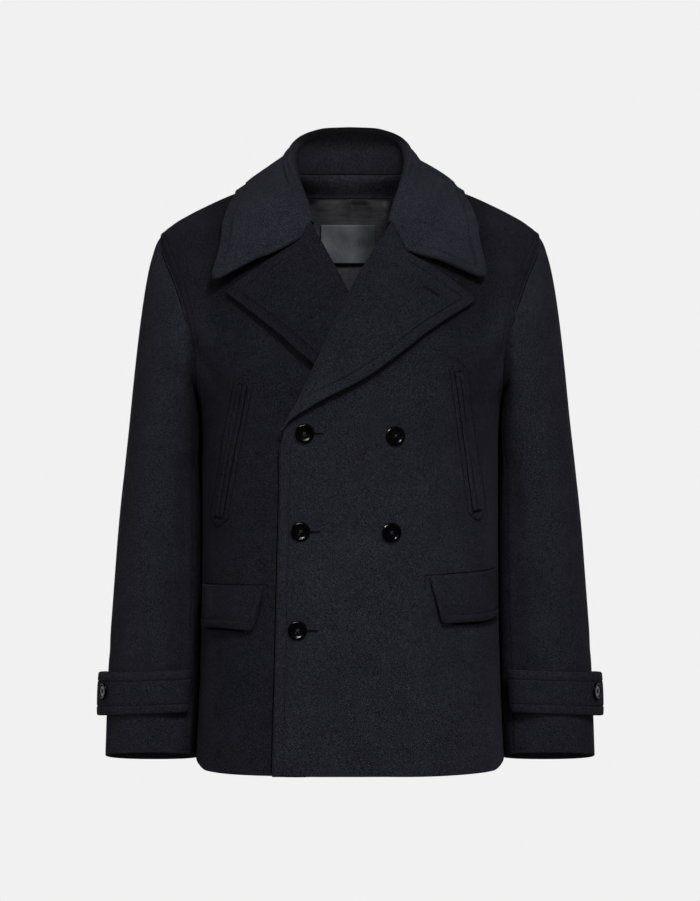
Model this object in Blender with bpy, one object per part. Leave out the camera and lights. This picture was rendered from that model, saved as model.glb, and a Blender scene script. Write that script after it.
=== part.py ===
"""Double-breasted pea coat, filled out as it is worn, closed left over right.

Metres, +Z up, front towards -Y.  The origin is on the middle line of the coat,
at the height of the neck points, where the shoulders of the wearer carry it.
Heights in the tables are above the hem.
"""
import bpy
import numpy as np
from math import pi, radians

# ---------------------------------------------------------------- sizes
NECK = 0.760          # neck point above the hem, height of the origin
CLOTH = 0.0026        # melton of the body and sleeves
LAPEL = 0.0034        # lapel, two layers
COLLAR = 0.0042       # collar, two layers and canvas
FLAP = 0.0034         # pocket flap, two layers
WELT = 0.0014         # lip of a slit pocket
STRAP = 0.0040        # cuff strap, two layers and canvas
TAB_THICK = 0.0008    # label
FACING_THICK = 0.0015 # wool facing inside the back neck
LINING = 0.0010
SEAM = 0.0004         # gap at a seam
LAY = 0.0014          # gap below a piece that lies on a panel
WELT_LIFT = 0.00084   # gap below a welt
PRESS = 0.0024        # gap between sleeve and side of the body
ARMPIT = 0.450
SHOULDER = 0.6764     # shoulder point above the hem
ARM_FRONT = 33.5      # how far the armhole reaches round the front and back
ARM_BACK = 32.0
SEAM_FORE = 138.0     # forearm and back seams of the sleeve, from its outer side
SEAM_HIND = -118.0

# height, half width, depth to front, depth to back, middle y, squareness
BODY = [
    (0.000, 0.1980, 0.147, 0.140, 0.000, 3.0),
    (0.100, 0.1940, 0.145, 0.134, 0.000, 2.8),
    (0.200, 0.1920, 0.144, 0.129, 0.000, 2.6),
    (0.300, 0.1915, 0.143, 0.127, 0.000, 2.5),
    (0.400, 0.1915, 0.143, 0.128, 0.000, 2.5),
    (0.450, 0.1935, 0.143, 0.130, 0.000, 2.5),
    (0.490, 0.2068, 0.142, 0.132, 0.000, 2.5),
    (0.528, 0.2210, 0.139, 0.133, 0.000, 2.5),
    (0.562, 0.2320, 0.133, 0.133, 0.001, 2.5),
    (0.608, 0.2425, 0.120, 0.130, 0.002, 2.5),
    (0.650, 0.2475, 0.103, 0.122, 0.004, 2.5),
    (0.6764, 0.2465, 0.089, 0.114, 0.005, 2.5),
    (0.694, 0.2290, 0.077, 0.107, 0.006, 2.5),
    (0.7063, 0.2088, 0.067, 0.102, 0.007, 2.5),
    (0.7193, 0.1840, 0.056, 0.096, 0.008, 2.4),
    (0.7324, 0.1554, 0.046, 0.089, 0.009, 2.3),
    (0.745, 0.1210, 0.038, 0.080, 0.011, 2.2),
    (0.760, 0.0800, 0.031, 0.066, 0.012, 2.1),
    (0.780, 0.0620, 0.028, 0.060, 0.013, 2.0),
    (0.850, 0.0600, 0.028, 0.060, 0.013, 2.0),
]

# height, how far the worn-over front stands off the body at the middle
OVER = [(0.00, 0.0046), (0.30, 0.0048), (0.36, 0.0066), (0.42, 0.0098),
        (0.60, 0.0098), (0.64, 0.0045), (0.675, 0.0), (0.90, 0.0)]

# front edge and fold line of each front, own side positive:
# row, x of the over front, x of the under front, height
EDGE = [
    (0.0, -0.0950, -0.0850, 0.000), (0.33, -0.0915, -0.0850, 0.140),
    (0.66, -0.0880, -0.0850, 0.280), (1.0, -0.0840, -0.0850, 0.420),
]
FOLD = [
    (0.0, -0.0800, -0.0800, 0.425), (0.15, -0.0615, -0.0620, 0.453),
    (0.35, -0.0370, -0.0375, 0.5045), (0.65, 0.0060, 0.0050, 0.594),
    (1.0, 0.0560, 0.0535, 0.6865),
]
# neckline from the fold line to the neck point: row, x, height
NECKLINE = [(0.0, 0.0560, 0.6865), (0.25, 0.0605, 0.7060), (0.5, 0.0660, 0.7260),
            (0.75, 0.0725, 0.7440), (1.0, 0.0800, 0.7600)]

# lower edge of the lapel from the break to its tip: row, over x, over h, under x, under h
LAPEL_LOW = [
    (0.0, -0.0700, 0.4375, -0.0700, 0.4370), (0.2, -0.0385, 0.4578, -0.0400, 0.4550),
    (0.45, 0.0200, 0.4886, 0.0200, 0.4872), (0.75, 0.0994, 0.5475, 0.1000, 0.5530),
    (1.0, 0.1540, 0.5890, 0.1530, 0.5975),
]
# notch and tips: x, h of notch, lapel tip, collar tip
POINTS = {
    "over": dict(notch=(0.0722, 0.6450), lapel_tip=(0.1540, 0.5890), collar_tip=(0.1705, 0.6125)),
    "under": dict(notch=(0.0612, 0.6635), lapel_tip=(0.1530, 0.5975), collar_tip=(0.1680, 0.6075)),
}

# middle of the collar's roll, centre back to gorge: place, x, y, height, roll radius
ROLL = [
    (0.00, 0.0000, 0.0830, 0.8245, 0.0046), (0.15, 0.0300, 0.0790, 0.8225, 0.0046),
    (0.28, 0.0510, 0.0680, 0.8170, 0.0046), (0.38, 0.0645, 0.0520, 0.8085, 0.0045),
    (0.47, 0.0720, 0.0310, 0.7950, 0.0044), (0.56, 0.0740, 0.0090, 0.7780, 0.0042),
    (0.66, 0.0720, -0.0180, 0.7580, 0.0040), (0.78, 0.0680, -0.0430, 0.7370, 0.0036),
    (0.90, 0.0615, -0.0670, 0.7110, 0.0032), (1.00, 0.0560, -0.0800, 0.6870, 0.0030),
]
# way the roll faces: place, x, y, z
FACING = [
    (0.00, 0.00, 1.00, 0.00), (0.28, 0.55, 0.83, 0.10), (0.47, 1.00, 0.15, 0.10),
    (0.66, 0.93, -0.35, 0.20), (0.85, 0.55, -0.75, 0.35), (1.00, 0.25, -0.85, 0.42),
]
# outer edge of the collar on the front: place, x, height
COLLAR_FRONT = [(0.70, 0.1500, 0.7265), (0.78, 0.1530, 0.7120), (0.86, 0.1590, 0.6870),
                (0.94, 0.1660, 0.6520), (1.00, 0.1717, 0.6142)]
COLLAR_BACK_H = 0.735

# sleeve rings: height, inner x, outer x, middle y, half depth, tilt
SLEEVE = [
    (0.004, 0.1950, 0.3170, -0.010, 0.054, 0.229), (0.060, 0.1900, 0.3150, -0.009, 0.057, 0.190),
    (0.130, 0.1850, 0.3115, -0.006, 0.061, 0.140), (0.210, 0.1820, 0.3060, -0.001, 0.066, 0.090),
    (0.300, 0.1810, 0.2995, 0.005, 0.073, 0.030), (0.400, 0.1810, 0.2920, 0.010, 0.081, 0.0),
    (0.460, 0.1850, 0.2870, 0.010, 0.084, 0.0),
]
SLEEVE_TOP = 0.400

# buttons on the over front: name, x, height
BUTTONS = [("button_1", -0.0542, 0.4210), ("button_2", -0.0598, 0.3005),
           ("button_3", -0.0637, 0.1792), ("button_4", 0.0545, 0.4180),
           ("button_5", 0.0503, 0.2995)]
# slit pockets: x and height of the top and the bottom of the slit, own side positive
SLITS = {"left": (0.1325, 0.4985, 0.1590, 0.3240), "right": (0.1325, 0.4810, 0.1645, 0.3160)}
LIP = 0.0052
# flaps: front corner x, height, then the lower corner, height at the side, own side positive
FLAPS = {"left": (0.0955, 0.2455, 0.1105, 0.1850, 0.2500, 0.1895),
         "right": (0.1055, 0.2330, 0.1190, 0.1775, 0.2300, 0.1775)}
FLAP_END = 70.0
STRAP_LOW, STRAP_HIGH = 0.0595, 0.1140
FRONT_BUTTON, CUFF_BUTTON = 0.0130, 0.0115     # radii
CUFF_BUTTON_AT = 31.0                          # way round the sleeve
# edges of the label across the back and above the hem, and its place in from the back's outer surface
TAB_X, TAB_H, TAB_LIES = (-0.0400, 0.0350), (0.6560, 0.7080), -0.0062
FACING_SEAM = 0.738        # seam between the facing and the lining, at the centre back
FACING_LIES = -0.0044      # outer side of the facing, in from the back's outer surface
LINING_HEM = 0.030

MELTON = (0.017, 0.019, 0.026)
INNER = (0.020, 0.020, 0.024)
SATIN = (0.030, 0.029, 0.031)
TAB = (0.060, 0.062, 0.066)
HORN = (0.006, 0.006, 0.007)


# ---------------------------------------------------------------- helpers
def curve(rows, col, t):
    """Smooth curve through one column of a table, against its first column."""
    a = np.array(rows, float)
    x, y = a[:, 0], a[:, col]
    h = np.diff(x)
    d = np.diff(y) / h
    m = np.empty_like(y)
    m[0], m[-1] = d[0], d[-1]
    same = d[:-1] * d[1:] > 0
    w1, w2 = 2 * h[1:] + h[:-1], h[1:] + 2 * h[:-1]
    with np.errstate(divide="ignore", invalid="ignore"):
        mid = (w1 + w2) / (w1 / d[:-1] + w2 / d[1:])
    m[1:-1] = np.where(same, mid, 0.0)
    t = np.clip(np.asarray(t, float), x[0], x[-1])
    i = np.clip(np.searchsorted(x, t, side="right") - 1, 0, len(h) - 1)
    s = (t - x[i]) / h[i]
    return ((2 * s**3 - 3 * s**2 + 1) * y[i] + (s**3 - 2 * s**2 + s) * h[i] * m[i]
            + (3 * s**2 - 2 * s**3) * y[i + 1] + (s**3 - s**2) * h[i] * m[i + 1])


def unit(v):
    return v / np.maximum(np.linalg.norm(v, axis=-1, keepdims=True), 1e-12)


def step(t):
    t = np.clip(t, 0.0, 1.0)
    return t * t * (3 - 2 * t)


def body(th, h):
    """Point of the body's outer surface; th is 0 at the front, 90 at the wearer's left side."""
    th, h = np.broadcast_arrays(np.radians(np.asarray(th, float)), np.asarray(h, float))
    w, f, b, mid, e = (curve(BODY, c, h) for c in range(1, 6))
    s, c = np.sin(th), np.cos(th)
    r = (np.abs(s)**e + np.abs(c)**e) ** (-1 / e)
    y = mid - np.where(c > 0, f, b) * r * c
    return np.stack([w * r * s, y, h - NECK], -1)


def normal(th, h):
    e, k = 0.2, 0.0005
    th, h = np.broadcast_arrays(np.asarray(th, float), np.asarray(h, float))
    return unit(np.cross(body(th + e, h) - body(th - e, h), body(th, h + k) - body(th, h - k)))


def angle(x, h):
    """Way round the front at which the body is x wide at height h."""
    w, e = curve(BODY, 1, h), curve(BODY, 5, h)
    q = np.clip(np.abs(x) / w, 0, 0.9995)
    return np.degrees(np.arctan2(q, (1 - q**e) ** (1 / e))) * np.sign(x)


def over(p, side):
    """How far the over front stands off the body at a point."""
    if side < 0:
        return np.zeros(p.shape[:-1])
    fade = 1 - step((p[..., 0] - 0.092) / 0.075)
    return curve(OVER, 1, p[..., 2] + NECK) * fade


def skin(th, h, off, side=-1):
    """Point at a height off the body, or off the over front with side = 1."""
    p = body(th, h)
    return p + normal(th, h) * (np.asarray(off) + over(p, side))[..., None]


def front(x, h, off, side):
    """Point on a front, x positive towards that front's own side."""
    x, h = np.broadcast_arrays(np.asarray(x, float), np.asarray(h, float))
    return skin(angle(x * side, h), h, off, side)


def away(p, off):
    """Moves points out until they lie at least off from the body and the over front."""
    p = np.array(p, float)

    def level(q):
        w, f, b, mid, e = (curve(BODY, c, q[..., 2] + NECK) for c in range(1, 6))
        d = np.where(q[..., 1] < mid, f, b)
        return ((np.abs(q[..., 0]) / w)**e + (np.abs(q[..., 1] - mid) / d)**e) ** (1 / e)

    k = 0.0004
    for _ in range(5):
        f = level(p)
        g = np.stack([(level(p + v) - level(p - v)) / (2 * k) for v in np.eye(3) * k], -1)
        n = np.linalg.norm(g, axis=-1)
        need = off + over(p, 1) - (f - 1) / n
        p = p + g / n[..., None] * np.maximum(need, 0)[..., None]
    return p


def grid_normals(g):
    return unit(np.cross(np.gradient(g, axis=1), np.gradient(g, axis=0)))


def coons(bottom, top, left, right):
    """Patch between four edges; bottom and top run across, left and right run up."""
    u = np.linspace(0, 1, len(bottom))[None, :, None]
    v = np.linspace(0, 1, len(left))[:, None, None]
    return ((1 - v) * bottom[None] + v * top[None] + (1 - u) * left[:, None] + u * right[:, None]
            - ((1 - u) * (1 - v) * bottom[0] + u * (1 - v) * bottom[-1]
               + (1 - u) * v * top[0] + u * v * top[-1]))


def material(name, colour, rough):
    m = bpy.data.materials.get(name)
    if m is None:
        m = bpy.data.materials.new(name)
        m.use_nodes = True
        b = m.node_tree.nodes["Principled BSDF"]
        b.inputs["Base Color"].default_value = (*colour, 1)
        b.inputs["Roughness"].default_value = rough
    return m


def add(name, verts, faces, mat):
    me = bpy.data.meshes.new(name)
    me.from_pydata([tuple(float(c) for c in v) for v in verts], [], faces)
    me.materials.append(mat)
    ob = bpy.data.objects.new(name, me)
    bpy.context.scene.collection.objects.link(ob)
    return ob


def wall(name, a, b, mat):
    """Closed wall between two grids of points of one shape."""
    n, m = a.shape[:2]
    verts = np.concatenate([a.reshape(-1, 3), b.reshape(-1, 3)])
    k = n * m
    faces = []
    for i in range(n - 1):
        for j in range(m - 1):
            p, q, r, t = i * m + j, i * m + j + 1, (i + 1) * m + j + 1, (i + 1) * m + j
            faces += [(p, q, r), (p, r, t), (k + r, k + q, k + p), (k + t, k + r, k + p)]
    ring = ([(0, j) for j in range(m)] + [(i, m - 1) for i in range(1, n)]
            + [(n - 1, j) for j in range(m - 2, -1, -1)] + [(i, 0) for i in range(n - 2, 0, -1)])
    idx = [i * m + j for i, j in ring]
    for p, q in zip(idx, idx[1:] + idx[:1]):
        faces += [(p, k + p, q), (k + p, k + q, q)] if p < q else [(p, k + p, k + q), (p, k + q, q)]
    vol = 0.0
    for f in faces:
        for i in range(1, len(f) - 1):
            vol += np.dot(verts[f[0]], np.cross(verts[f[i]], verts[f[i + 1]]))
    if vol < 0:
        faces = [tuple(reversed(f)) for f in faces]
    return add(name, verts, faces, mat)


def sheet(name, mid, thick, mat, rims=()):
    """Wall on both sides of a middle surface; rims turns the named edges of the wall."""
    n = grid_normals(mid)
    for where, v in rims:
        n[where] = v * np.sign(np.sum(v * n[where], -1, keepdims=True))
    n = n * (thick / 2)
    return wall(name, mid + n, mid - n, mat)


# ---------------------------------------------------------------- body panels
LOW = [0.0, 0.06, 0.12, 0.18, 0.24, 0.30, 0.36, 0.425]     # rows below the break
N_ARM = 14                                                   # rows along the armhole
N_NECK = 5                                                   # of which beside the neckline
N_NAPE = 6                                                   # and beside the back neckline
N_TOP = 10                                                    # columns along a shoulder


def armhole(phi):
    """th and h of the armhole; phi 0 at the shoulder, 180 at the armpit, negative at the back."""
    p = np.radians(phi)
    reach = np.where(np.sin(p) >= 0, ARM_FRONT, ARM_BACK)
    mid, half = (SHOULDER + ARMPIT) / 2, (SHOULDER - ARMPIT) / 2
    return 90 - reach * np.sin(p), mid + half * np.cos(p)


def side_rows(back=False):
    """Outer boundary of a front or back: side seam, then armhole up to the shoulder."""
    th, h = armhole(np.linspace(180, 0, N_ARM) * (-1 if back else 1))
    return (np.concatenate([np.full(len(LOW), 90.0), th]), np.concatenate([LOW, h]))


def inner_rows(side):
    """Inner boundary of a front, in x and height: front edge, fold line, neckline."""
    col = 1 if side > 0 else 2
    t = np.array(LOW[:-1]) / 0.42
    x, h = list(curve(EDGE, col, t)), list(LOW[:-1])
    t = np.linspace(0, 1, N_ARM + 1 - N_NECK)
    x += list(curve(FOLD, col, t))
    h += list(curve(FOLD, 3, t))
    t = np.linspace(0, 1, N_NECK + 1)[1:]
    shift = x[-1] - NECKLINE[0][1]
    x += list(curve(NECKLINE, 1, t) + shift * (1 - t))
    h += list(curve(NECKLINE, 2, t))
    return np.array(x), np.array(h)


ROW_BREAK = len(LOW) - 1
ROW_GORGE = ROW_BREAK + N_ARM - N_NECK


def front_edge(side):
    """th and h of a front's inner boundary."""
    x, h = inner_rows(side)
    th = angle(x * side, h) * side
    th[-1] = 90.0
    return th, h


def make_front(name, side, mat):
    lth, lh = front_edge(side)
    rth, rh = side_rows()
    u = np.linspace(0, 1, N_TOP + 1)[None]
    th = lth[:, None] * (1 - u) + rth[:, None] * u
    h = lh[:, None] * (1 - u) + rh[:, None] * u
    th = np.minimum(th, 90 - np.degrees(SEAM / 2 / curve(BODY, 2, h)))
    wall(name, skin(th * side, h, 0.0, side), skin(th * side, h, -CLOTH, side), mat)


def nape(t):
    """Back neckline; t is 0 at the centre back, 1 at the neck point."""
    return 180 - 90 * t, NECK + 0.007 * np.cos(t * pi / 2) ** 0.7


def back_grid():
    """th and h of one half of the back, from its centre seam to the side."""
    rth, rh = side_rows(back=True)
    t = np.linspace(0, 1, N_NAPE + 1)
    nth, nh = nape(t)
    k = N_ARM + 1 - N_NAPE
    lh = np.concatenate([LOW[:-1], np.linspace(LOW[-1], nh[0], k), nh[1:]])
    lth = np.concatenate([np.full(len(LOW) - 1 + k, 180.0), nth[1:]])
    u = np.linspace(0, 1, N_TOP + 1)[None]
    th = lth[:, None] * (1 - u) + rth[:, None] * u
    h = lh[:, None] * (1 - u) + rh[:, None] * u
    deep = curve(BODY, 3, h)
    th = np.maximum(th, 90 + np.degrees(SEAM / 2 / deep))
    return np.minimum(th, 180 - np.degrees(SEAM / 2 / curve(BODY, 1, h))), h


def make_back(name, side, mat):
    th, h = back_grid()
    wall(name, skin(th * side, h, 0.0), skin(th * side, h, -CLOTH), mat)


# ---------------------------------------------------------------- lapels
def make_lapel(name, side, key, mat):
    x, h = inner_rows(side)
    rows = slice(ROW_BREAK + 1, ROW_GORGE + 1)
    x, h = x[rows], h[rows]
    n = len(x)
    s = np.linspace(1 / n, 1, n)
    base = front(x, h, -CLOTH / 2, side)
    out = normal(angle(x * side, h), h)
    along = unit(np.gradient(base, axis=0))
    away_dir = unit(np.cross(out, along)) * side
    out = unit(np.cross(along, away_dir)) * side
    rad = 0.0024 + (0.0014 * np.sin(pi * s) ** 0.8 if side > 0 else 0 * s)
    base = base + away_dir * SEAM
    base[-1] -= along[-1] * 0.0020
    arc = [base]
    for a in np.radians([30, 70, 110, 150, 180]):
        arc.append(base + out * (rad * (1 - np.cos(a)))[:, None]
                   + away_dir * (rad * np.sin(a))[:, None])
    # the part that lies on the front, worked out flat in x, height and distance off it
    c = (1, 2) if side > 0 else (3, 4)
    tip = POINTS[key]["lapel_tip"]
    notch = POINTS[key]["notch"]
    m = 6
    low = np.stack([curve(LAPEL_LOW, c[0], s), curve(LAPEL_LOW, c[1], s)], -1)
    low[-1] = tip
    roll = np.stack([x, h], -1)
    roll[-1] -= (0.0013, 0.0018)
    t = np.linspace(0, 1, m)
    gorge = np.array(notch) - (0.0008, 0.0009)
    k = 0.3
    top = np.where((t < k)[:, None], roll[-1] + (gorge - roll[-1]) * (t / k)[:, None],
                   gorge + (np.array(tip) - gorge) * ((t - k) / (1 - k))[:, None])
    bottom = roll[0] + (low[0] - roll[0]) * t[:, None]
    flat = coons(bottom, top, roll, low)[:, 1:]
    rest = LAY + 0.0006 + LAPEL / 2
    start = 2 * rad - CLOTH / 2
    off = rest + (start - rest)[:, None] * (1 - step(t[1:] / 0.8))[None]
    body_part = front(flat[..., 0], flat[..., 1], off, side)
    mid = np.concatenate([np.stack(arc, 1), body_part], 1)
    rim = normal(angle(flat[-1, :, 0] * side, flat[-1, :, 1]), flat[-1, :, 1])
    sheet(name, mid, LAPEL, mat, [((-1, slice(-(m - 1), None)), rim)])


# ---------------------------------------------------------------- collar
def collar_half(side):
    """Sections of one half, from the centre back to the gorge."""
    key = "over" if side > 0 else "under"
    bth, bh = nape(np.linspace(0, 1, N_NAPE + 1))
    off = -COLLAR / 2
    back = skin(bth * side, bh, off)
    back[:, 2] += SEAM * 1.5
    x, h = inner_rows(side)
    x, h = x[:ROW_GORGE - 1:-1], h[:ROW_GORGE - 1:-1]
    fth = angle(x * side, h)
    fth[0] = 90.0 * side
    fr = skin(fth, h, off, side)
    nrm = normal(fth, h)
    along = unit(np.gradient(fr, axis=0))
    inward = unit(np.cross(nrm, along)) * -side
    inward[0] = (0, 0, 1)
    fr = fr + inward * SEAM * 3
    rim = np.concatenate([normal(bth * side, bh), nrm[1:]])
    base = np.concatenate([back, fr[1:]])
    base[-1] -= along[-1] * 0.0050
    n1, n2 = len(back), len(fr)
    s = np.concatenate([np.linspace(0, 0.5, n1), np.linspace(0.5, 1, n2)[1:]])
    n = len(s)
    shift = (x[-1] - NECKLINE[0][1]) * step((s - 0.5) / 0.5)
    c = np.stack([(curve(ROLL, 1, s) + shift) * side, curve(ROLL, 2, s), curve(ROLL, 3, s) - NECK], -1)
    rad = curve(ROLL, 4, s)
    face = unit(np.stack([curve(FACING, 1, s) * side, curve(FACING, 2, s), curve(FACING, 3, s)], -1))
    face[-1] = normal(angle(x[-1] * side, h[-1]), h[-1])
    w = step((s - 0.72) / 0.28)[:, None]
    c = c * (1 - w) + (base[-1] + face[-1] * rad[-1] + inward[-1] * 0.003 + (c - c[-1])) * w
    tan = unit(np.gradient(c, axis=0))
    if side < 0:
        tan = -tan
    tan[0] = (1, 0, 0)
    crest = unit(np.cross(tan, face))
    face = unit(np.cross(crest, tan))
    start = c - face * rad[:, None]
    cols = [base]
    for t in (0.33, 0.68):
        bow = np.sin(pi * t) * 0.004 * (1 - s)[:, None]
        cols.append(base + (start - base) * t + face * bow)
    for a in np.radians([0, 40, 80, 115, 150, 180]):
        cols.append(c - face * (rad * np.cos(a))[:, None] + crest * (rad * np.sin(a))[:, None])
    turn = cols[-1]
    # the fall, between the roll, the outer edge, the end at the gorge and the centre back
    m = 6
    t = np.linspace(0, 1, m)
    lay = LAY + 0.0008 + COLLAR / 2
    tip, notch = POINTS[key]["collar_tip"], POINTS[key]["notch"]
    ex, eh = curve(COLLAR_FRONT, 1, s), curve(COLLAR_FRONT, 2, s)
    ex = ex + (tip[0] - COLLAR_FRONT[-1][1]) * step((s - 0.8) / 0.2)
    eh = eh + (tip[1] - COLLAR_FRONT[-1][2]) * step((s - 0.8) / 0.2)
    eth = np.abs(angle(ex, eh))
    # level round the back to the side of the neck, then down the front
    around, join = np.clip(s / 0.62, 0, 1), np.clip((s - 0.62) / 0.08, 0, 1)
    th_all = 180 - 90 * around + (eth - 90) * join
    h_all = COLLAR_BACK_H + (eh - COLLAR_BACK_H) * join
    edge = skin(th_all * side, h_all, lay + 0.0015 * step((s - 0.6) / 0.4), side)
    # the end runs from the gorge by way of the notch to the tip
    k2 = 0.25
    g0 = np.array((x[-1], h[-1])) + (0.0012, 0.0016)
    nt = np.array(notch) + (0.0014, 0.0022)
    line = np.where((t < k2)[:, None], g0 + (nt - g0) * (t / k2)[:, None],
                    nt + (np.array(tip) - nt) * ((t - k2) / (1 - k2))[:, None])
    end = front(line[:, 0], line[:, 1], lay + 0.0012, side)
    end[0] = turn[-1]
    end[-1] = edge[-1]
    first = turn[0] + (edge[0] - turn[0]) * t[:, None]
    first[:, 1] += 0.004 * np.sin(pi * t)
    fall = coons(first, end, turn, edge)
    bow = 0.0065 * np.exp(-((s - 0.5) / 0.16) ** 2)[:, None] * np.sin(pi * t)[None]
    fall = fall + bow[..., None] * np.array([side * 0.6, 0.0, 0.8])
    fall[1:, 1:] = away(fall[1:, 1:], lay)
    low = normal(angle(line[1:, 0] * side, line[1:, 1]), line[1:, 1])
    return np.concatenate([np.stack(cols, 1), fall[:, 1:]], 1), rim, low


def make_collar(name, mat):
    left, rim_left, low_left = collar_half(1)
    right, rim_right, low_right = collar_half(-1)
    k = len(low_left)
    sheet(name, np.concatenate([right[::-1], left[1:]]), COLLAR, mat,
          [((slice(None), 0), np.concatenate([rim_right[::-1], rim_left[1:]])),
           ((0, slice(-k, None)), low_right), ((-1, slice(-k, None)), low_left)])


# ---------------------------------------------------------------- inside of the back
def make_inside(wool, satin, tab):
    def seam(t):
        return FACING_SEAM + 0.010 * np.abs((t - 180) / 84) ** 2

    t = np.linspace(-0.88, 0.88, 15)
    th, top = nape(np.abs(t))
    th = 180 + (th - 180) * np.sign(t)
    v = np.linspace(0, 1, 4)[:, None]
    h = (seam(th) + 0.0012) * (1 - v) + (top - 0.0030) * v
    th = th + 0 * h
    wall("neck_facing", skin(th, h, FACING_LIES), skin(th, h, FACING_LIES - FACING_THICK), wool)
    # the lining, in two halves, from above the hem up to the facing
    rth, rh = side_rows(back=True)
    t = np.linspace(0, 1, N_NAPE + 1)[1:]
    sth = 180 - 78 * t
    k = N_ARM + 1 - N_NAPE
    lh = np.concatenate([LOW[:-1], np.linspace(LOW[-1], seam(180) - SEAM, k), seam(sth) - SEAM])
    lth = np.concatenate([np.full(len(LOW) - 1 + k, 180.0), sth])
    u = np.linspace(0, 1, N_TOP + 1)[None]
    th = lth[:, None] * (1 - u) + rth[:, None] * u
    h = lh[:, None] * (1 - u) + rh[:, None] * u
    h[0] = LINING_HEM
    inset = np.degrees(0.005 / curve(BODY, 3, h))
    th = np.clip(th, 90 + inset, 180 - np.degrees(SEAM / 2 / curve(BODY, 1, h)))
    th, h = th[:, :-1], h[:, :-1]
    off = CLOTH + 0.0006 + 0.0012 * step((h - 0.36) / 0.3)
    for word, side in (("left", 1), ("right", -1)):
        wall(f"back_lining_{word}", skin(th * side, h, -off), skin(th * side, h, -off - LINING), satin)
    # the bare label sewn below the facing
    x = np.linspace(TAB_X[0], TAB_X[1], 5)
    h = np.linspace(TAB_H[0], TAB_H[1], 4)[:, None]
    tt = 180 - angle(x[None] + 0 * h, h)
    g = skin(tt, h, TAB_LIES)
    wall("label", g, skin(tt, h, TAB_LIES - TAB_THICK), tab)


# ---------------------------------------------------------------- sleeves
def ring(phi, h, side, gap):
    """Outer surface of the sleeve; phi is 0 at its outer side and 90 at the front."""
    p = np.radians(phi)
    a, b = curve(SLEEVE, 1, h), curve(SLEEVE, 2, h)
    mid, deep, tilt = curve(SLEEVE, 3, h), curve(SLEEVE, 4, h), curve(SLEEVE, 5, h)
    s, c = np.sin(p), np.cos(p)
    e = 2.2
    r = (np.abs(s)**e + np.abs(c)**e) ** (-1 / e)
    x = (a + b) / 2 + (b - a) / 2 * r * c
    y = mid - deep * r * s
    z = h - tilt * (y - mid)
    # pressed against the side of the body, free of it below the armpit
    gap = gap + 0.0065 * step((h - 0.33) / 0.07)
    w, f, bk, m, q = (curve(BODY, i, z) for i in range(1, 6))
    d = np.where(y < m, f, bk)
    v = np.clip(np.abs(y - m) / d, 0, 0.999)
    limit = w * (1 - v**q) ** (1 / q) + gap
    soft = 0.002
    x = limit + (x - limit) / 2 + np.sqrt(((x - limit) / 2) ** 2 + soft**2)
    return np.stack([x * side, y, z - NECK], -1)


ARM_T = np.array([0.0, 0.10, 0.20, 0.32, 0.46, 0.62, 0.80, 1.0])
ARM_H = [0.345, 0.285, 0.225, 0.165, 0.105, 0.052, 0.004]


def arm(phi, side, gap=PRESS):
    """Sleeve surface from the armhole to the cuff, and its direction off the body at the top."""
    th, h = armhole(phi)
    edge = skin(th * side, h, 0.0)
    n0 = normal(th * side, h)
    e = 0.5
    th2, h2 = armhole(phi + e)
    th1, h1 = armhole(phi - e)
    tan = unit(skin(th2 * side, h2, 0.0) - skin(th1 * side, h1, 0.0))
    hole = unit(np.cross(n0, tan)) * side          # in the surface, into the hole
    start = edge + hole * SEAM
    end = ring(phi, np.full_like(phi, SLEEVE_TOP), side, gap)
    up = ring(phi, np.full_like(phi, SLEEVE_TOP + 0.01), side, gap) - end
    up = up / 0.01
    p = np.radians(phi)
    top, low = (1 + np.cos(p)) / 2, (1 - np.cos(p)) / 2
    ease = unit(hole + np.array([side * 0.25, 0, 0.0]) * top[:, None]
                + np.stack([0 * p, -np.sin(p) * 0.5, 0 * p], -1))
    q1 = start + ease * (0.016 * top + 0.012 * low)[:, None]
    q2 = end + up * (0.150 * top + 0.062 * low)[:, None]
    t = ARM_T[:, None, None]
    g = ((1 - t)**3 * start + 3 * (1 - t)**2 * t * q1 + 3 * (1 - t) * t**2 * q2 + t**3 * end)
    rows = [ring(phi, np.full_like(phi, v), side, gap) for v in ARM_H]
    return np.concatenate([g, np.stack(rows)]), n0


def sleeve_angles():
    """Columns of the upper and of the under sleeve, one on each row of the armhole."""
    d = 180 / (N_ARM - 1)
    a, b = round(SEAM_HIND / d), round(SEAM_FORE / d)
    return np.arange(a, b + 1) * d, np.arange(b, a + 2 * N_ARM - 1) * d


def make_sleeve(word, side, mat):
    for name, phi in zip(("upper", "under"), sleeve_angles()):
        gap = np.degrees(SEAM * 0.7 / 0.08)
        phi[0] += gap
        phi[-1] -= gap
        phi = (phi + 180) % 360 - 180 if name == "under" else phi
        g, n0 = arm(phi, side)
        e = 0.5
        round_ = arm(phi + e, side)[0] - arm(phi - e, side)[0]
        n = unit(np.cross(round_, np.gradient(g, axis=0))) * side
        n[0] = n0
        wall(f"{name}_sleeve_{word}", g, g - n * CLOTH, mat)


# ---------------------------------------------------------------- pockets, straps, buttons
def make_slit(word, side, mat):
    xt, ht, xb, hb = SLITS[word]
    v = np.linspace(0, 1, 8)
    x, h = xb + (xt - xb) * v, hb + (ht - hb) * v
    d = np.array([xt - xb, ht - hb])
    d = d / np.linalg.norm(d)
    across = np.array([d[1], -d[0]])
    for lip, a, b in (("front", -LIP - 0.0002, -0.0002), ("back", 0.0002, LIP + 0.0002)):
        u = np.linspace(a, b, 3)
        gx = x[:, None] + across[0] * u
        gh = h[:, None] + across[1] * u
        wall(f"welt_{word}_{lip}", front(gx, gh, WELT_LIFT + WELT, side),
             front(gx, gh, WELT_LIFT, side), mat)


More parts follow.
